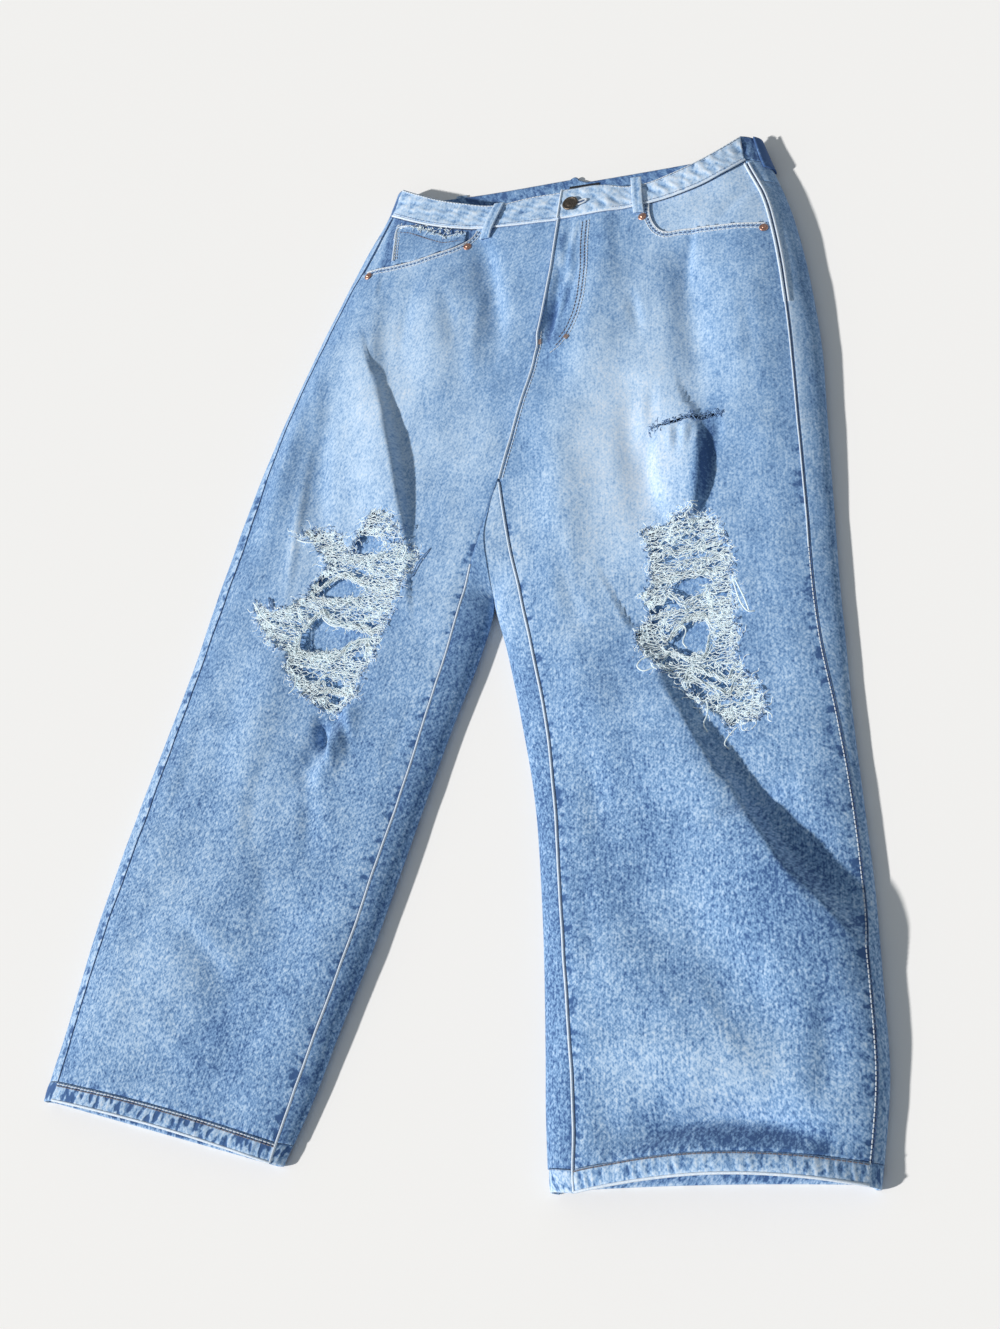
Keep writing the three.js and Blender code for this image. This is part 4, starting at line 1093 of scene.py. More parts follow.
def outlineSheet(name, leg, outline, step, cloth, values, flatAt=None):
    # a piece with its own outline, lying on the form or flat at a height of its own
    corners = np.array(outline, float)
    low, high = corners.min(0) - 2, corners.max(0) + 2
    columns, rows = (np.ceil((high - low) / step)).astype(int)
    bm, u, v, *_ = gridOf(np.linspace(0, 1, columns + 1), np.linspace(0, 1, rows + 1))
    x, y = low[0] + u * (high[0] - low[0]), high[1] - v * (high[1] - low[1])
    x, y = keepWithin(bm, x, y, outline, step * 0.62)
    z = topHeight(leg, x, y) + 0.25 if flatAt is None else flatAt + 0 * x
    points = np.stack([x, y, z], axis=1)
    return sheetObject(name, bm, points, grainOf(leg, x, y), values(x, y), cloth, False, blueDenim)


def makeFacing(leg, mouth):
    first, last = mouth[0], mouth[-1]
    x0, x1 = sorted((first[0] - leg.sign * facings["deep"], last[0] + leg.sign * 40))
    area = [(x0, last[1] - facings["deep"]), (x1, last[1] - facings["deep"]), (x1, 400), (x0, 400)]
    across = spaced([(1, facings["step"] / fronts["wide"])])
    down = spaced([(0.16, facings["step"] / fronts["long"])])
    bm, u, v, *_ = gridOf(across, down)
    x, y = frontPlaces(leg, u, v)
    x, y = keepWithin(bm, x, y, area, 0.1)
    z = topHeight(leg, x, y) - form["cloth"] - form["gap"]
    points = np.stack([x, y, z], axis=1)
    # the dark band near x 118 paints the shadow in the gap under the mouth's curve; the low value on the
    # right facing paints the shadow above the coin pocket
    if leg.sign > 0:
        fade = 0.98 - 0.25 * np.exp(-(((x - 118) / 9) ** 2))
    else:
        fade = 0.16 + 0.6 * smooth(-x, 190, 200)
    values = dict(fade=fade, roping=0.0 * x, hemming=0.0 * x)
    name = f"pocket_facing_{leg.name}_cloth"
    obj = sheetObject(name, bm, points, grainOf(leg, x, y), values, form["cloth"], leg.sign < 0, blueDenim)
    return keepPiece(obj, "pocket_facing", f"pocket_facing_{leg.name}")


def makeCoinPocket():
    outline = ragged(coinOutline, 4, 0.25, 17)

    def worn(x, y):
        topEdge = np.interp(x, [-186, -164, -138, -119, -96], [328, 324, 311, 302, 304])
        lowEdge = np.interp(x, [-181, -147, -107, -95], [273, 276, 285, 291.5])
        frayed = np.exp(-(((topEdge - y) / 3) ** 2))
        return dict(
            fade=0.5 + 0.75 * frayed + 0.1 * np.exp(-(((y - lowEdge) / 3) ** 2)),
            roping=0.3 * np.exp(-(((topEdge - y - 6) / 5) ** 2)),
            hemming=1.0 + 0 * x,
        )

    obj = outlineSheet("coin_pocket_cloth", right, outline, 2.0, form["cloth"], worn)
    return keepPiece(obj, "denim", "coin_pocket")


def makeBackPocket(leg):
    def across(place, wide):
        return leg.sign * (134 + place * wide)

    outline = [
        (across(-0.5, 152), 226), (across(-0.5, 126), 92), (across(0.04, 126), 72),
        (across(0.54, 126), 98), (across(0.52, 152), 238),
    ]
    if leg.sign < 0:
        outline = outline[::-1]

    def plain(x, y):
        even = 0 * (x + y)
        return dict(fade=0.55 + even, roping=0.1 + even, hemming=even)

    name = f"back_pocket_{leg.name}_cloth"
    obj = outlineSheet(name, leg, outline, 4, loops["flatCloth"], plain, flatAt=loops["flatTop"])
    return keepPiece(obj, "denim", f"back_pocket_{leg.name}")


def makeStrip(node, leg, place, cloth, fade, columns=10, rows=40):
    # a belt loop: place gives x, y and z of its outer face for u across and v down it
    bm, u, v, *_ = gridOf(np.linspace(0, 1, columns + 1), np.linspace(0, 1, rows + 1))
    x, y, z = place(u, v)
    points = np.stack([x, y, z], axis=1)
    edge = np.exp(-((np.minimum(u, 1 - u) / 0.14) ** 2))
    # darker along the middle ditch as painted shade, paler at the worn edges
    ditchShade = np.exp(-(((u - 0.5) / 0.1) ** 2))
    values = dict(fade=fade + 0.4 * edge - 0.35 * ditchShade, roping=0.3 * (1 - edge), hemming=1.0 + 0 * x)
    name = f"{node}_cloth"
    obj = sheetObject(name, bm, points, grainOf(leg, x, y), values, cloth, leg.sign < 0, blueDenim)
    return keepPiece(obj, "denim", node)


def makeFrontLoop(leg, top, bottom):
    def place(u, v):
        x = lerp(top[0], bottom[0], v) + leg.sign * loops["wide"] * (u - 0.5)
        y = lerp(top[1], bottom[1], v)
        onBand = 1 - smooth(v, 0.8, 0.99)
        ditch = 0.5 * np.exp(-(((u - 0.5) / 0.09) ** 2))
        crown = 0.5 * np.sin(math.pi * u) - ditch + 0.6 * np.sin(math.pi * v)
        z = topHeight(leg, x, y) + loops["clear"] + loops["cloth"] + 1.2 * onBand + crown
        return x, y, z

    return makeStrip(f"loop_front_{leg.name}", leg, place, loops["cloth"], 0.86)


def makeSideLoop(leg):
    def place(u, v):
        y = lerp(382, 341, v)
        q = lerp(0.2, 0.62, u)
        x, z = outerRound(leg, q, y)
        xa, za = outerRound(leg, q - 0.02, y)
        xb, zb = outerRound(leg, q + 0.02, y)
        along = np.hypot(xb - xa, zb - za)
        out = loops["clear"] + loops["cloth"]
        return x - leg.sign * out * (zb - za) / along, y, z + leg.sign * out * (xb - xa) / along

    # its low value darkens this loop as painted shade
    return makeStrip(f"loop_side_{leg.name}", leg, place, loops["cloth"], -0.4, columns=14)


def makeFlatLoop(name, x0, x1, y0, y1):
    def place(u, v):
        return lerp(x0, x1, u), lerp(y1, y0, v), loops["flatTop"] + 0 * u

    return makeStrip(name, left, place, loops["flatCloth"], 0.6, rows=20)


def makeUnderFly(name, wide, low, height, fade, slotName):
    # the shield and the zip's tape hang below the front's fly edge
    bm, u, v, *_ = gridOf(np.linspace(0, 1, 13), np.linspace(0, 1, 60))
    y = lerp(302, low, v)
    x = lerp(centre(y) + form["gap"], centre(y) + wide, u)
    z = topHeight(left, x, y) + height
    points = np.stack([x, y, z], axis=1)
    values = dict(fade=fade + 0 * x, roping=0.1 + 0 * x, hemming=0.0 * x)
    grain = grainOf(left, x, y)
    obj = sheetObject(f"{name}_cloth", bm, points, grain, values, form["cloth"], False, blueDenim)
    return keepPiece(obj, slotName, name)


for leg, mouth in ((left, leftMouth), (right, rightMouth)):
    makeHem(leg)
    makeFrontBand(leg)
    makeFacing(leg, mouth)
    makeBackPocket(leg)
makeBackBand()
makeCoinPocket()
makeFrontLoop(left, (93, 341), (102, 295))
makeFrontLoop(right, (-61, 335), (-72, 291))
makeSideLoop(left)
makeFlatLoop("loop_back_right", -132, -119, 326, 377)
makeFlatLoop("loop_back_middle", 9, 21, 324, 371)
makeUnderFly("fly_shield", form["flyWide"] - 2, 156, 0, 0.5, "denim")
makeUnderFly("zip_tape", 26, 164, -1.5, 0.9, "zip_tape")
print("trims made")


# Button, rivets and label

# radius and height
buttonProfile = [
    (0, 0), (4.2, 0), (4.2, 0.9), (7.6, 1.1), (8.5, 1.7), (8.6, 2.3), (8.1, 2.9), (7.2, 3.05), (6.5, 2.85),
    (6.1, 2.45), (4.2, 2.5), (3.9, 2.75), (2.2, 2.8), (0, 2.8),
]
rivetProfile = [
    (0, 0), (4.4, 0), (4.5, 0.35), (4.1, 0.8), (3.1, 1.15), (2.2, 1.1), (1.7, 1.35), (1.45, 1.8),
    (0.9, 2.05), (0, 2.1),
]


def metalFinish(name, base, worn, rough):
    finish = Finish(name, {"Metallic": 1.0, "Roughness": rough})
    place = finish.node("TexCoord", out="Object")
    cloud = finish.noise(place, 3, 0.6, 900)
    finish.feed({"Base Color": finish.mix(cloud.between(0.35, 0.7), base, worn)})
    finish.feed({"Roughness": cloud.between(0.3, 0.7, rough - 0.08, rough + 0.15)})
    finish.bump(cloud, 0.00015, 0.5)
    return finish.material


def turnedPiece(name, leg, at, profile, lift, finish, slotName):
    # spins a profile and stands it square on the cloth, whose slope is read over a few millimetres
    bm = bmesh.new()
    ring = [bm.verts.new((radius / 1000, 0, height / 1000)) for radius, height in profile]
    edges = [bm.edges.new(pair) for pair in zip(ring, ring[1:])]
    bmesh.ops.spin(
        bm, geom=ring + edges, cent=(0, 0, 0), axis=(0, 0, 1),
        angle=2 * math.pi, steps=36, use_merge=True, use_duplicate=False,
    )
    bmesh.ops.remove_doubles(bm, verts=bm.verts[:], dist=0.000005)
    bmesh.ops.recalc_face_normals(bm, faces=bm.faces[:])
    x, y = at
    step = 6
    aroundX = np.array([x + step, x - step, x, x, x])
    aroundY = np.array([y, y, y + step, y - step, y])
    east, west, north, south, here = topHeight(leg, aroundX, aroundY, fine=False)
    up = Vector((-(east - west) / (2 * step), -(north - south) / (2 * step), 1)).normalized()
    turn = Vector((0, 0, 1)).rotation_difference(up).to_matrix().to_4x4()
    base = Vector(toRow([x, y, here])) + up * (lift / 1000)
    bmesh.ops.transform(bm, matrix=Matrix.Translation(base) @ turn, verts=bm.verts[:])
    obj = objectOf(meshOf(bm, name), finish)
    return keepPiece(obj, slotName, name.replace("_metal", ""))


darkMetal = metalFinish("dark metal", colour(92, 84, 78), colour(140, 128, 116), 0.38)
copperMetal = metalFinish("copper", colour(188, 128, 108), colour(232, 192, 172), 0.36)
turnedPiece("button_metal", left, (25, 316), buttonProfile, 4.35, darkMetal, "button")
rivets = dict(
    left_side=(left, (235, 258)),
    left_middle=(left, (106, 290)),
    right_side=(right, (-208, 264)),
    right_middle=(right, (-91, 284)),
)
for key, (leg, at) in rivets.items():
    turnedPiece(f"rivet_{key}_metal", leg, at, rivetProfile, 0.3, copperMetal, "rivets")


labelSize = (0.034, 0.019, 0.0008)


def makeLabel():
    finish = Finish("black label", {"Roughness": 0.8})
    place = finish.node("TexCoord", out="Object")
    weave = finish.noise(place, 2, 0.5, 1400)
    finish.feed({"Base Color": finish.mix(weave.between(0.3, 0.7), colour(18, 20, 26), colour(38, 41, 50))})
    finish.bump(weave, 0.0002, 0.5)
    bm = bmesh.new()
    bmesh.ops.create_cube(bm, size=1)
    bmesh.ops.scale(bm, vec=labelSize, verts=bm.verts[:])
    bmesh.ops.bevel(bm, geom=bm.edges[:], offset=0.0003, segments=2, affect="EDGES", profile=0.5)
    low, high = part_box("label")
    bmesh.ops.translate(bm, vec=[(a + b) / 2 for a, b in zip(low, high)], verts=bm.verts[:])
    obj = objectOf(meshOf(bm, "label_cloth"), finish.material, smoothFaces=False)
    return keepPiece(obj, "label", "label")


makeLabel()
print("metal made")


# Bare threads, frays and stitches

threads = dict(
    between=1.25,  # from one bare thread to the next
    sample=2.6,
    wave=1.5,
    sag=2.6,
    missing=0.12,  # share of the threads that are worn away
    broken=0.28,  # share that end part of the way
    fringe=15,
    curlStep=1.5,
    knotArea=26,  # square millimetres of rip to each loose curl
)

# Open gaps, with no thread across them
rightGaps = [
    [(-171, -62), (-160, -52), (-137, -57), (-128, -63), (-127, -75), (-150, -76), (-172, -72)],
    [(-177, -99), (-166, -99), (-144, -110), (-145, -121), (-172, -122), (-202, -118), (-192, -109)],
    [(-199, -148), (-188, -138), (-176, -150), (-155, -156), (-140, -158), (-126, -165), (-150, -171),
     (-157, -180), (-187, -181), (-208, -176)],
    [(-193, -205), (-178, -204), (-176, -211), (-189, -213)],
    [(-172, -207), (-151, -210), (-150, -218), (-164, -218)],
    [(-173, -225), (-160, -225), (-143, -229), (-150, -235)],
    [(-161, -89), (-148, -94), (-147, -100), (-159, -98)],
]
leftGaps = [
    [(174, -126), (181, -119), (206, -115), (215, -118), (215, -128), (203, -135), (190, -140),
     (184, -133)],
    [(198, -160), (218, -158), (219, -179), (222, -191), (206, -196), (179, -187), (186, -174)],
    [(203, -210), (219, -212), (230, -217), (246, -224), (244, -229), (222, -220)],
    [(168, -93), (179, -92), (179, -99), (170, -100)],
    [(195, -89), (207, -91), (206, -98), (196, -97)],
    [(184, -105), (193, -104), (192, -111), (185, -110)],
    [(188, -71), (203, -74), (202, -79), (190, -77)],
    [(212, -100), (220, -103), (219, -109), (212, -107)],
]


def threadFinish(name, base, shade, glow=0.0):
    # cotton lets some light through, more than denim does
    soft = {"Subsurface Weight": glow, "Subsurface Radius": (1, 1, 1), "Subsurface Scale": 0.0015}
    finish = Finish(name, {"Roughness": 0.95, "Sheen Weight": 0.2, "Sheen Roughness": 0.5, **soft})
    place = finish.node("TexCoord", out="Object")
    twist = finish.noise(place, 2, 0.5, 700)
    finish.feed({"Base Color": finish.mix(twist.between(0.3, 0.7), base, shade)})
    return finish.material


def threadObject(name, lines, radius, finish):
    # lines are lists of points in millimetres; radius is one number or one for each line
    curve = bpy.data.curves.new(name, "CURVE")
    curve.dimensions = "3D"
    curve.bevel_depth = 0.001
    curve.bevel_resolution = 0
    curve.use_fill_caps = True
    for i, line in enumerate(lines):
        spline = curve.splines.new("POLY")
        spline.points.add(len(line) - 1)
        placed = np.concatenate([toRow(line), np.ones((len(line), 1))], axis=1)
        spline.points.foreach_set("co", placed.astype(np.float32).ravel())
        thick = radius[i] if hasattr(radius, "__len__") else radius
        spline.points.foreach_set("radius", np.full(len(line), thick, np.float32))
    holder = bpy.data.objects.new(name, curve)
    bpy.context.scene.collection.objects.link(holder)
    graph = bpy.context.evaluated_depsgraph_get()
    mesh = bpy.data.meshes.new_from_object(holder.evaluated_get(graph))
    bpy.data.objects.remove(holder)
    bpy.data.curves.remove(curve)
    mesh.name = name
    mesh.materials.clear()
    print(name, len(mesh.polygons), "faces")
    return objectOf(mesh, finish)


def laid(lines, height):
    # sets flat lines with their own lifts on a surface, all in one go
    every = np.concatenate(lines)
    z = height(every[:, 0], every[:, 1]) + every[:, 2]
    placed = np.stack([every[:, 0], every[:, 1], z], axis=1)
    return np.split(placed, np.cumsum([len(line) for line in lines])[:-1])


def crossings(outline, level, alongAxis, upAxis):
    # where a line across the leg meets an outline
    corners = [np.array(p, float) for p in outline]
    found = []
    for a, b in zip(corners, corners[1:] + corners[:1]):
        ua, ub = a @ upAxis, b @ upAxis
        if (ua > level) != (ub > level):
            t = (level - ua) / (ub - ua)
            found.append(float(a @ alongAxis + t * (b - a) @ alongAxis))
    return sorted(found)


def softened(values, times):
    values = np.array(values, float)
    for _ in range(times):
        padded = np.concatenate([values[:1], values, values[-1:]])
        values = (padded[:-2] + 2 * padded[1:-1] + padded[2:]) / 4
    return values


def wovenThreads(leg, outline, gaps, seed):
    chance = random.Random(seed)
    alongAxis, upAxis = legFrame(leg)
    ups = [np.array(p, float) @ upAxis for p in outline]
    level = min(ups) + 0.5
    lines, thick = [], []
    while level < max(ups):
        ends = crossings(outline, level, alongAxis, upAxis)
        for start, end in zip(ends[::2], ends[1::2]):
            if end - start < 3 or chance.random() < threads["missing"]:
                continue
            count = max(3, int((end - start + 4) / threads["sample"]))
            across = np.linspace(start - 2, end + 2, count + 1)
            up = np.full(len(across), level)
            for gap in gaps:
                spots = np.array([np.array(p, float) for p in gap])
                gapUp, gapAcross = spots @ upAxis, spots @ alongAxis
                if not gapUp.min() < level < gapUp.max():
                    continue
                goUp = level > (gapUp.min() + gapUp.max()) / 2 + chance.gauss(0, 1.5)
                slack = abs(chance.gauss(0, 3.4)) + 0.3
                turned = [(q @ upAxis, q @ alongAxis) for q in spots]
                for k, place in enumerate(across):
                    if gapAcross.min() < place < gapAcross.max():
                        hits = crossings(turned, place, np.array([1, 0]), np.array([0, 1]))
                        if hits:
                            up[k] = hits[-1] + slack if goUp else hits[0] - slack
            up = softened(up, 1)
            wander = 0
            for _ in range(3):
                length, begin = chance.uniform(5, 18), chance.uniform(0, 6.28)
                strength = chance.uniform(0.3, 1)
                wander = wander + strength * np.sin(2 * math.pi * across / length + begin)
            free = np.sin(math.pi * np.clip((across - across[0]) / (across[-1] - across[0]), 0, 1)) ** 0.6
            up = up + threads["wave"] * wander * free
            flat = across[:, None] * alongAxis + up[:, None] * upAxis
            hang = chance.uniform(-threads["sag"], 1.6)
            bounce = 0.8 * np.sin(across / chance.uniform(1.8, 4.0) + chance.uniform(0, 6))
            lift = -0.7 + (hang + bounce) * free
            line = np.stack([flat[:, 0], flat[:, 1], lift], axis=1)
            if chance.random() < threads["broken"]:
                cutAt = chance.randrange(1, len(line))
                line = line[:cutAt] if chance.random() < 0.5 else line[cutAt - 1:]
            if len(line) > 1:
                lines.append(line)
                thick.append(chance.uniform(0.34, 0.68))
        level += threads["between"] * chance.uniform(0.5, 1.5)
    return lines, thick


def curl(start, heading, length, tightness, chance, lift=0.6):
    # a loose thread that wanders over the cloth
    step = threads["curlStep"]
    point = np.array(start, float)
    angle = heading
    bend = chance.gauss(0, tightness)
    line = []
    wave, phase = chance.uniform(1.2, 2.6), chance.uniform(0, 6)
    for k in range(max(3, int(length / step)) + 1):
        line.append((point[0], point[1], lift + 0.8 * math.sin(k / wave + phase)))
        bend = (bend + chance.gauss(0, tightness * 0.7)) * 0.85
        angle += bend
        point = point + step * np.array([math.cos(angle), math.sin(angle)])
    return np.array(line)


def edgeCurls(outline, seed, apart, longest, inwardShare=0.5):
    chance = random.Random(seed)
    lines, thick = [], []
    corners = [np.array(p, float) for p in outline]
    for a, b in zip(corners, corners[1:] + corners[:1]):
        long = float(np.hypot(*(b - a)))
        heading = math.atan2((b - a)[1], (b - a)[0])
        for _ in range(int(long / apart + chance.random())):
            start = a + (b - a) * chance.random() + np.array([chance.gauss(0, 1.6), chance.gauss(0, 1.6)])
            turn = heading + chance.uniform(0.2, 2.9) * (1 if chance.random() < inwardShare else -1)
            length, lift = chance.uniform(4, longest), chance.uniform(-0.4, 1.6)
            lines.append(curl(start, turn, length, 0.55, chance, lift))
            thick.append(chance.uniform(0.26, 0.6))
    return lines, thick


def looseCurls(outline, gaps, seed):
    # curls all over the worn cloth, fewer over the open gaps
    chance = random.Random(seed)
    corners = np.array(outline, float)
    low, high = corners.min(0), corners.max(0)
    count = int((high - low).prod() / threads["knotArea"])
    spots = np.array([[chance.uniform(low[k], high[k]) for k in (0, 1)] for _ in range(count)])
    kept = outlineDistance(spots[:, 0], spots[:, 1], outline)[0] < -1
    for gap in gaps:
        kept &= outlineDistance(spots[:, 0], spots[:, 1], gap)[0] > 4
    lines, thick = [], []
    for spot in spots[kept]:
        length, turn = chance.uniform(6, 22), chance.uniform(0, 6.28)
        lines.append(curl(spot, turn, length, 0.7, chance, chance.uniform(-1.2, 1.6)))
        thick.append(chance.uniform(0.3, 0.62))
    return lines, thick


def looped(points, lift, steps=6):
    # a thread laid through a few given points
    corners = np.array(points, float)
    spread = np.linspace(0, len(corners) - 1, steps * (len(corners) - 1) + 1)
    drawn = [np.interp(spread, range(len(corners)), corners[:, k]) for k in (0, 1)]
    flat = np.stack([softened(values, 6) for values in drawn], axis=1)
    rise = lift * np.sin(np.linspace(0.2, 2.9, len(flat)))
    return np.concatenate([flat, rise[:, None]], axis=1)


whiteThread = threadFinish("bare cotton", colour(236, 252, 255), colour(216, 238, 252), 0.7)
blueThread = threadFinish("blue warp", colour(64, 98, 148), colour(140, 176, 216))

# Long threads that stand out from the rest: their places and how high they lift
rightLoose = [
    ([(-186, -140), (-182, -146), (-170, -154), (-156, -153), (-146, -148), (-133, -149)], 2.5),
    ([(-150, -190), (-150, -179), (-142, -171), (-129, -168), (-118, -169)], 3.5),
    ([(-272, -121), (-262, -130), (-255, -140), (-247, -145), (-235, -153)], 3),
    ([(-238, -50), (-224, -57), (-212, -58), (-199, -55)], 2.5),
    ([(-112, -92), (-107, -80), (-101, -68), (-98, -78), (-104, -88)], 4),
    ([(-210, -196), (-200, -206), (-198, -220), (-206, -226)], 2.5),
]
leftLoose = [
    ([(236, -116), (242, -132), (248, -146), (255, -155), (262, -153)], 4),
    ([(238, -118), (245, -130), (252, -143), (257, -156)], 2.5),
    ([(172, -196), (162, -200), (158, -208), (166, -214), (176, -208)], 3),
    ([(224, -236), (228, -250), (224, -262), (230, -270)], 3),
    ([(256, -262), (248, -272), (244, -280), (250, -284)], 3),
    ([(186, -172), (196, -164), (200, -172), (196, -182), (202, -188)], 3),
]
darkLoose = [
    ([(-75, -70), (-81, -79), (-88, -89), (-92, -104)], 1.5),
    ([(-254, -116), (-250, -125), (-243, -134)], 1.5),
    ([(-249, -118), (-246, -126), (-242, -133)], 1.2),
]


def makeRip(leg, outline, gaps, loose, seed):
    def surface(x, y):
        return topHeight(leg, x, y, fine=False)

    lines, thick = wovenThreads(leg, outline, gaps, seed)
    bare = threadObject(f"bare_threads_{leg.name}", laid(lines, surface), thick, whiteThread)
    keepPiece(bare, "bare_weft", f"weft_{leg.name}")
    lines, thick = [], []
    rounds = [edgeCurls(outline, seed + 1, 1.5, threads["fringe"]), looseCurls(outline, gaps, seed + 3)]
    rounds += [edgeCurls(gap, seed + 2, 4.5, 8) for gap in gaps]
    rounds += [([looped(points, lift) for points, lift in loose], [0.8] * len(loose))]
    for more, moreThick in rounds:
        lines += more
        thick += moreThick
    curls = threadObject(f"loose_curls_{leg.name}", laid(lines, surface), thick, whiteThread)
    curls.visible_shadow = False  # so fine a fringe lets the light through
    keepPiece(curls, "bare_weft")
    lines, thick = edgeCurls(outline, seed + 5, 1.9, 7, 0.5)
    if leg.sign > 0:
        more, moreThick = edgeCurls(slitOutline, seed + 6, 1.6, 7, 0.3)
    else:
        more, moreThick = [looped(points, lift) for points, lift in darkLoose], [0.7] * len(darkLoose)
    lines += more
    thick += moreThick
    warp = threadObject(f"warp_frays_{leg.name}", laid(lines, surface), thick, blueThread)
    keepPiece(warp, "denim")


makeRip(left, leftRip, leftGaps, leftLoose, 21)
makeRip(right, rightRip, rightGaps, rightLoose, 43)
print("threads made")


# Seams and stitches

stitches = dict(
    long=2.9,
    apart=1.1,
    thick=0.6,  # a stitch's radius
    piping=1.35,  # the radius of a seam's worn, rounded edge
    thinPiping=0.8,
    # groove and outseam give the radii of navy cords laid in seam grooves, where they paint the grooves'
    # shadow
    groove=0.24,
    outseamShadowLine=0.4,
    dash=0.85,
)


def along(path):
    # the length of a path, and its point at any distance along it
    path = np.array(path, float)
    lengths = np.concatenate([[0], np.cumsum(np.hypot(*np.diff(path, axis=0).T))])
    return lengths[-1], lambda d: np.stack([np.interp(d, lengths, path[:, k]) for k in (0, 1)], axis=-1)


def beside(path, distance):
    # the path again, moved to the left of the way it runs
    path = np.array(path, float)
    run = np.gradient(path, axis=0)
    run /= np.maximum(np.hypot(run[:, 0], run[:, 1]), 1e-6)[:, None]
    return path + distance * np.stack([-run[:, 1], run[:, 0]], axis=1)


def rounded(path, step=3.0):
    # a path of corners, with the corners eased
    whole, at = along(path)
    flat = at(np.linspace(0, whole, max(3, int(whole / step))))
    return np.stack([softened(flat[:, k], 3) for k in (0, 1)], axis=1)


def stitchRow(path, lift=0.4, long=stitches["long"], apart=stitches["apart"]):
    whole, at = along(path)
    starts = np.arange(0, max(whole - long, long), long + apart)
    heights = (lift - 0.4, lift, lift - 0.4)
    return [np.column_stack([at(np.array([d, d + long / 2, d + long])), heights]) for d in starts]


def pipedRow(path, lift=0.2, step=3.0):
    whole, at = along(path)
    flat = at(np.linspace(0, whole, max(2, int(whole / step))))
    return [np.column_stack([flat, np.full(len(flat), lift)])]


def downSeam(seam, top, low, step=4.0):
    y = np.linspace(top, low, int((top - low) / step))
    return np.stack([seam(y), y], axis=1)


def acrossFront(leg, line, lift, low=0.0, high=1.0):
    s = np.linspace(low, high, 90)
    y = line(s) + lift
    return np.stack([frontX(leg, s, y), y], axis=1)


paleThread = threadFinish("pale stitching", colour(226, 232, 236), colour(198, 208, 220))
wornEdge = threadFinish("worn seam edge", colour(232, 240, 248), colour(196, 216, 238))
brownThread = threadFinish("brown stitching", colour(92, 88, 98), colour(134, 130, 138))
rustThread = threadFinish("rust bar tacks", colour(118, 100, 98), colour(160, 140, 132))
# navy cords: some are stitching, most lie in seam grooves and paint the grooves' shadow
navyStitchAndShadeThread = threadFinish("navy seam groove", colour(52, 78, 122), colour(84, 114, 160))

frontJ = rounded([(48, 296), (51, 261), (55, 229), (56, 200), (53, 178), (46, 158), (36, 144), (22, 136)])
bandProud = form["cloth"] + 0.9
mouthLines = {1: rounded(leftMouth), -1: rounded(rightMouth)}


def tack(at, turn, wide=4.4, tall=5):
    # a bar tack: short threads packed side by side
    c, s = math.cos(turn), math.sin(turn)
    rows = np.linspace(-tall / 2, tall / 2, 7)
    ends = (-wide / 2, wide / 2)
    return [np.array([(at[0] + c * e - s * r, at[1] + s * e + c * r, 0.5) for e in ends]) for r in rows]


def sewLeg(leg):
    away = leg.sign
    inTop = -4 if away > 0 else -92
    inLow, outLow = leg.hemLine(0) + 1, leg.hemLine(1) + 2
    inner = downSeam(leg.innerSeam, inTop, inLow)
    outer = downSeam(leg.seam, 344, outLow)
    band = acrossFront(leg, waistSeam, -0.4)
    bandTop = acrossFront(leg, lambda s: waistTop(leg, s), -2.2)
    hemTop = acrossFront(leg, leg.frontHem, form["hemTall"] - 1.6)
    hemEdge = acrossFront(leg, leg.frontHem, 1.0)
    mouth = mouthLines[away]
    rows = dict(worn=[], pale=[], brown=[], navy=[], dash=[])
    rows["worn"] += pipedRow(inner, 0.5) + pipedRow(band, 1.0)
    # navy cords either side of the inner seam paint the shade of its grooves
    rows["navy"] += pipedRow(beside(inner, 1.7), 0.1) + pipedRow(beside(inner, -1.7), 0.1)
    rows["navy"] += stitchRow(beside(band, 2.6 * away), bandProud)
    rows["pale"] += stitchRow(bandTop, bandProud) + pipedRow(beside(mouth, -0.9 * away), 0.3)
    rows["navy"] += pipedRow(beside(bandTop, -2.2 * away), 0.9)
    for distance in (-1.8, -6.6):
        rows["pale"] += stitchRow(beside(mouth, distance * away), 0.4)
    rows["dash"] += stitchRow(beside(mouth, -4.1 * away), 0.3, 2.4, 2.3)
    # a navy cord down the outer seam paints its groove's shadow line
    rows["outseamShadowLine"] = pipedRow(outer, 0.1)
    rows["brown" if away > 0 else "pale"] += stitchRow(hemTop, 1.3)
    rows["worn"] += pipedRow(hemEdge, 0.5)
    if away > 0:
        high = downSeam(leg.seam, 344, 170)
        rows["worn"] += pipedRow(beside(high, -1.9), 0.5) + pipedRow(beside(high, 1.9), 0.4)
        rows["thin"] = pipedRow(beside(downSeam(leg.seam, 172, -90), -1.7), 0.4)
        rows["pale"] += stitchRow(beside(outer, -1.6), 0.2)
    else:
        rows["brown"] += stitchRow(beside(hemTop, -2.0 * away), 1.4)
    return rows


def sewFly():
    rows = dict(worn=[], pale=[], brown=[], navy=[], rust=[])
    edgeY = np.linspace(302, 0, 90)
    edge = np.stack([centre(edgeY) - lapAt(left, edgeY) + 0.9, edgeY], axis=1)
    rows["worn"] += pipedRow(edge, 0.7) + pipedRow([(11.4, 338), (11.6, 320), (11.8, 301)], 2.7)
    # a navy cord beside the fly's worn edge paints the shade of its groove
    rows["navy"] += pipedRow(beside(edge, -2.0), -0.4)
    rows["pale"] += stitchRow(frontJ, 0.4)
    for distance, leftOff in ((3.2, 3), (7.6, 7)):
        rows["brown"] += stitchRow(beside(frontJ, -distance)[:-leftOff], 0.4)
    rows["pale"] += stitchRow(beside(edge[40:], 3.6), 0.4)
    rows["rust"] += tack((11, 153), 0.2) + tack((42, 153), 0.9)
    return rows


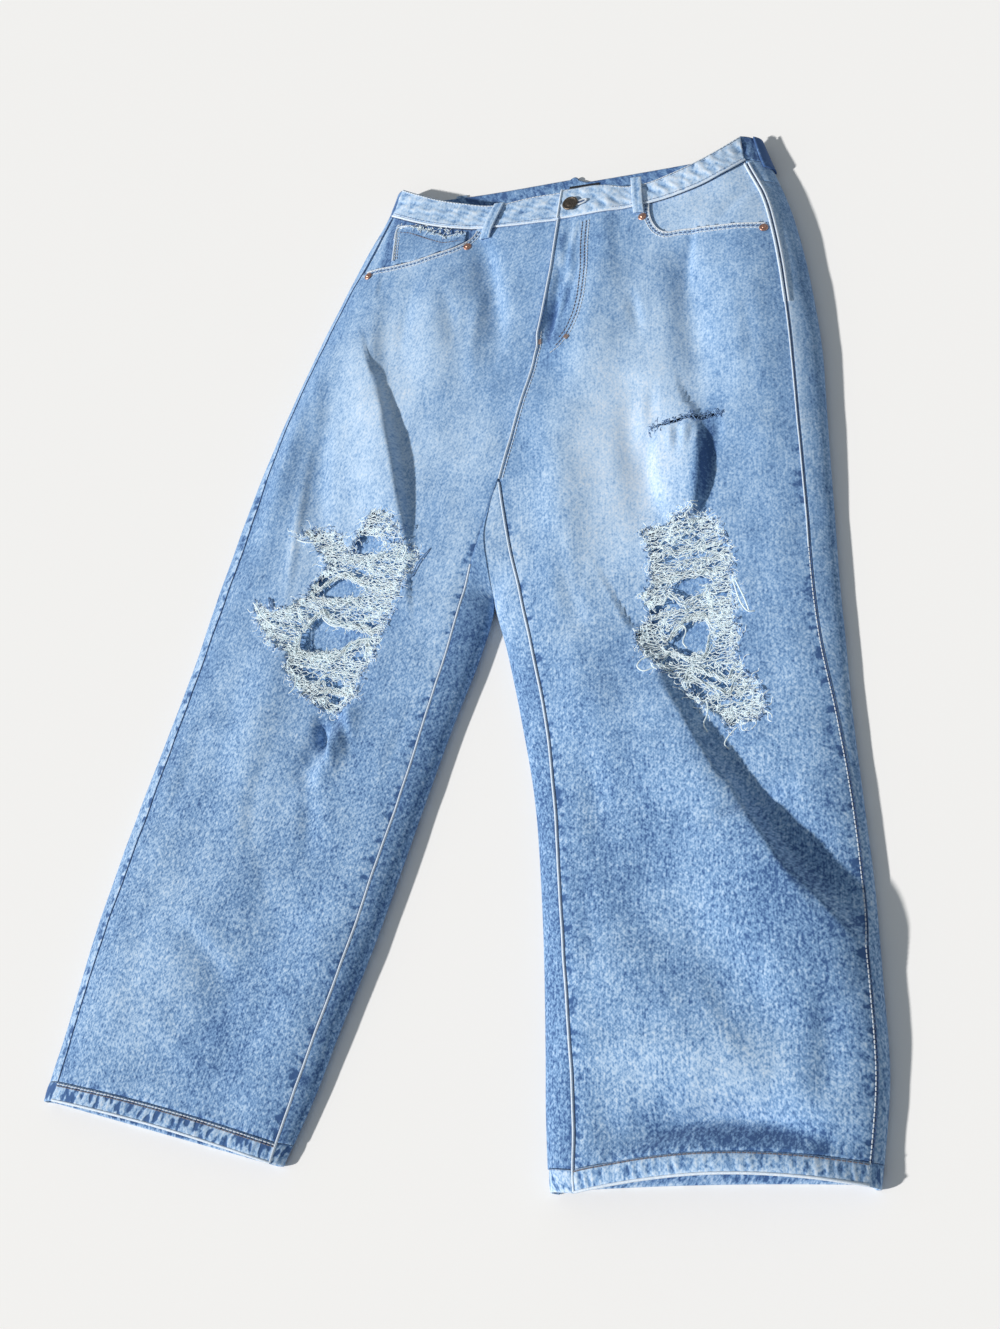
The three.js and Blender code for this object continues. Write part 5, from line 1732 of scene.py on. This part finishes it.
def sewCoinPocket():
    side = rounded([(-184, 324), (-179, 276)])
    top = rounded([(-186, 327), (-164, 323), (-138, 310), (-119, 301), (-96, 303)])
    corner = rounded([(-183, 305), (-184.5, 326), (-166, 322.5)])
    return dict(
        worn=pipedRow(corner, 0.9) + pipedRow(side, 0.5),
        pale=stitchRow(beside(side, 4.4), 0.5) + stitchRow(beside(side, 2.0), 0.6),
        brown=stitchRow(beside(top, -9), 0.4),
        fringe=edgeCurls(top, 91, 2.2, 5)[0],
    )


def sewSet(name, rows, height):
    finishes = dict(
        worn=(wornEdge, stitches["piping"], "denim"),
        thin=(wornEdge, stitches["thinPiping"], "denim"),
        pale=(paleThread, stitches["thick"], "bare_weft"),
        brown=(brownThread, stitches["thick"], "bare_weft"),
        rust=(rustThread, stitches["thick"], "bare_weft"),
        # the navy and outseam rows paint the shade in seam grooves
        navy=(navyStitchAndShadeThread, stitches["groove"], "denim"),
        dash=(navyStitchAndShadeThread, stitches["dash"], "denim"),
        fringe=(whiteThread, 0.5, "bare_weft"),
        outseamShadowLine=(navyStitchAndShadeThread, stitches["outseamShadowLine"], "denim"),
    )
    for key, lines in rows.items():
        finish, thick, slotName = finishes[key]
        if lines:
            keepPiece(threadObject(f"{key}_rows_{name}", laid(lines, height), thick, finish), slotName)


for leg in (left, right):
    sewSet(leg.name, sewLeg(leg), lambda x, y: frontHeight(leg, x, y))
sewSet("fly", sewFly(), lambda x, y: frontHeight(left, x, y))
sewSet("coin_pocket", sewCoinPocket(), lambda x, y: topHeight(right, x, y, fine=False))


def makeButtonhole():
    # the worn end of the buttonhole shows beside the button
    ring = rounded([(31, 317.5), (40, 320.5), (44.5, 318.5), (40, 315.5), (31, 313.5)], 1.2)
    slot = rounded([(31, 315.5), (41, 318)], 1.2)

    def surface(x, y):
        return frontHeight(left, x, y)

    edge = laid(pipedRow(ring, 3.9, 1.2), surface)
    keepPiece(threadObject("buttonhole_edge", edge, 1.1, paleThread), "bare_weft")
    # a navy cord in the slot paints the shade inside the cut
    cut = laid(pipedRow(slot, 3.6, 1.2), surface)
    keepPiece(threadObject("buttonhole_slot", cut, 0.9, navyStitchAndShadeThread), "denim")


makeButtonhole()
print("stitches made")
# Floor, light and camera

view = dict(
    floorHalf=3,  # metres
    floorDrop=-0.0004,
    floorColour=(0.9, 0.895, 0.885, 1),
    sunStrength=3.84,
    sunSpread=3,  # degrees
    sunColour=(1.0, 0.965, 0.93),
    sunWay=(0.9, 0.44, -0.73),  # the way its light runs
    skyColour=(0.86, 0.94, 1.0, 1),
    skyStrength=0.3,
    cameraPlace=(692.6, -790.8, 1379),
    cameraTurn=(25.0312, 23.0053, 8.7729),  # degrees
    lens=46.89,
)


def makeFloor():
    bm = bmesh.new()
    bmesh.ops.create_grid(bm, x_segments=1, y_segments=1, size=view["floorHalf"] * 2)
    finish = Finish("pale floor", {"Base Color": view["floorColour"], "Roughness": 0.9})
    floor = objectOf(meshOf(bm, "floor"), finish.material, smoothFaces=False)
    floor.location.z = view["floorDrop"]
    floor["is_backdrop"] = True


def makeLight():
    sun = bpy.data.lights.new("key", "SUN")
    sun.energy = view["sunStrength"]
    sun.angle = math.radians(view["sunSpread"])
    sun.color = view["sunColour"]
    lamp = bpy.data.objects.new("key", sun)
    lamp.rotation_euler = Vector(view["sunWay"]).to_track_quat("-Z", "Y").to_euler()
    bpy.context.scene.collection.objects.link(lamp)
    world = bpy.data.worlds.new("studio")
    world.use_nodes = True
    sky = world.node_tree.nodes["Background"].inputs
    sky["Color"].default_value = view["skyColour"]
    sky["Strength"].default_value = view["skyStrength"]
    bpy.context.scene.world = world


def makeCamera():
    lens = bpy.data.cameras.new("camera")
    lens.lens = view["lens"]
    lens.sensor_width = 36
    lens.clip_end = 60
    camera = bpy.data.objects.new("camera", lens)
    camera.location = toRow(view["cameraPlace"])
    camera.rotation_euler = [math.radians(turn) for turn in view["cameraTurn"]]
    bpy.context.scene.collection.objects.link(camera)
    bpy.context.scene.camera = camera


makeFloor()
makeLight()
makeCamera()
bpy.context.scene.view_settings.view_transform = "Standard"

visualBox = [list(corner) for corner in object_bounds()]
boxes = {"cad": cadBox, "visual": visualBox}
{key: [[float(v) for v in corner] for corner in box] for key, box in boxes.items()}
print("scene ready")
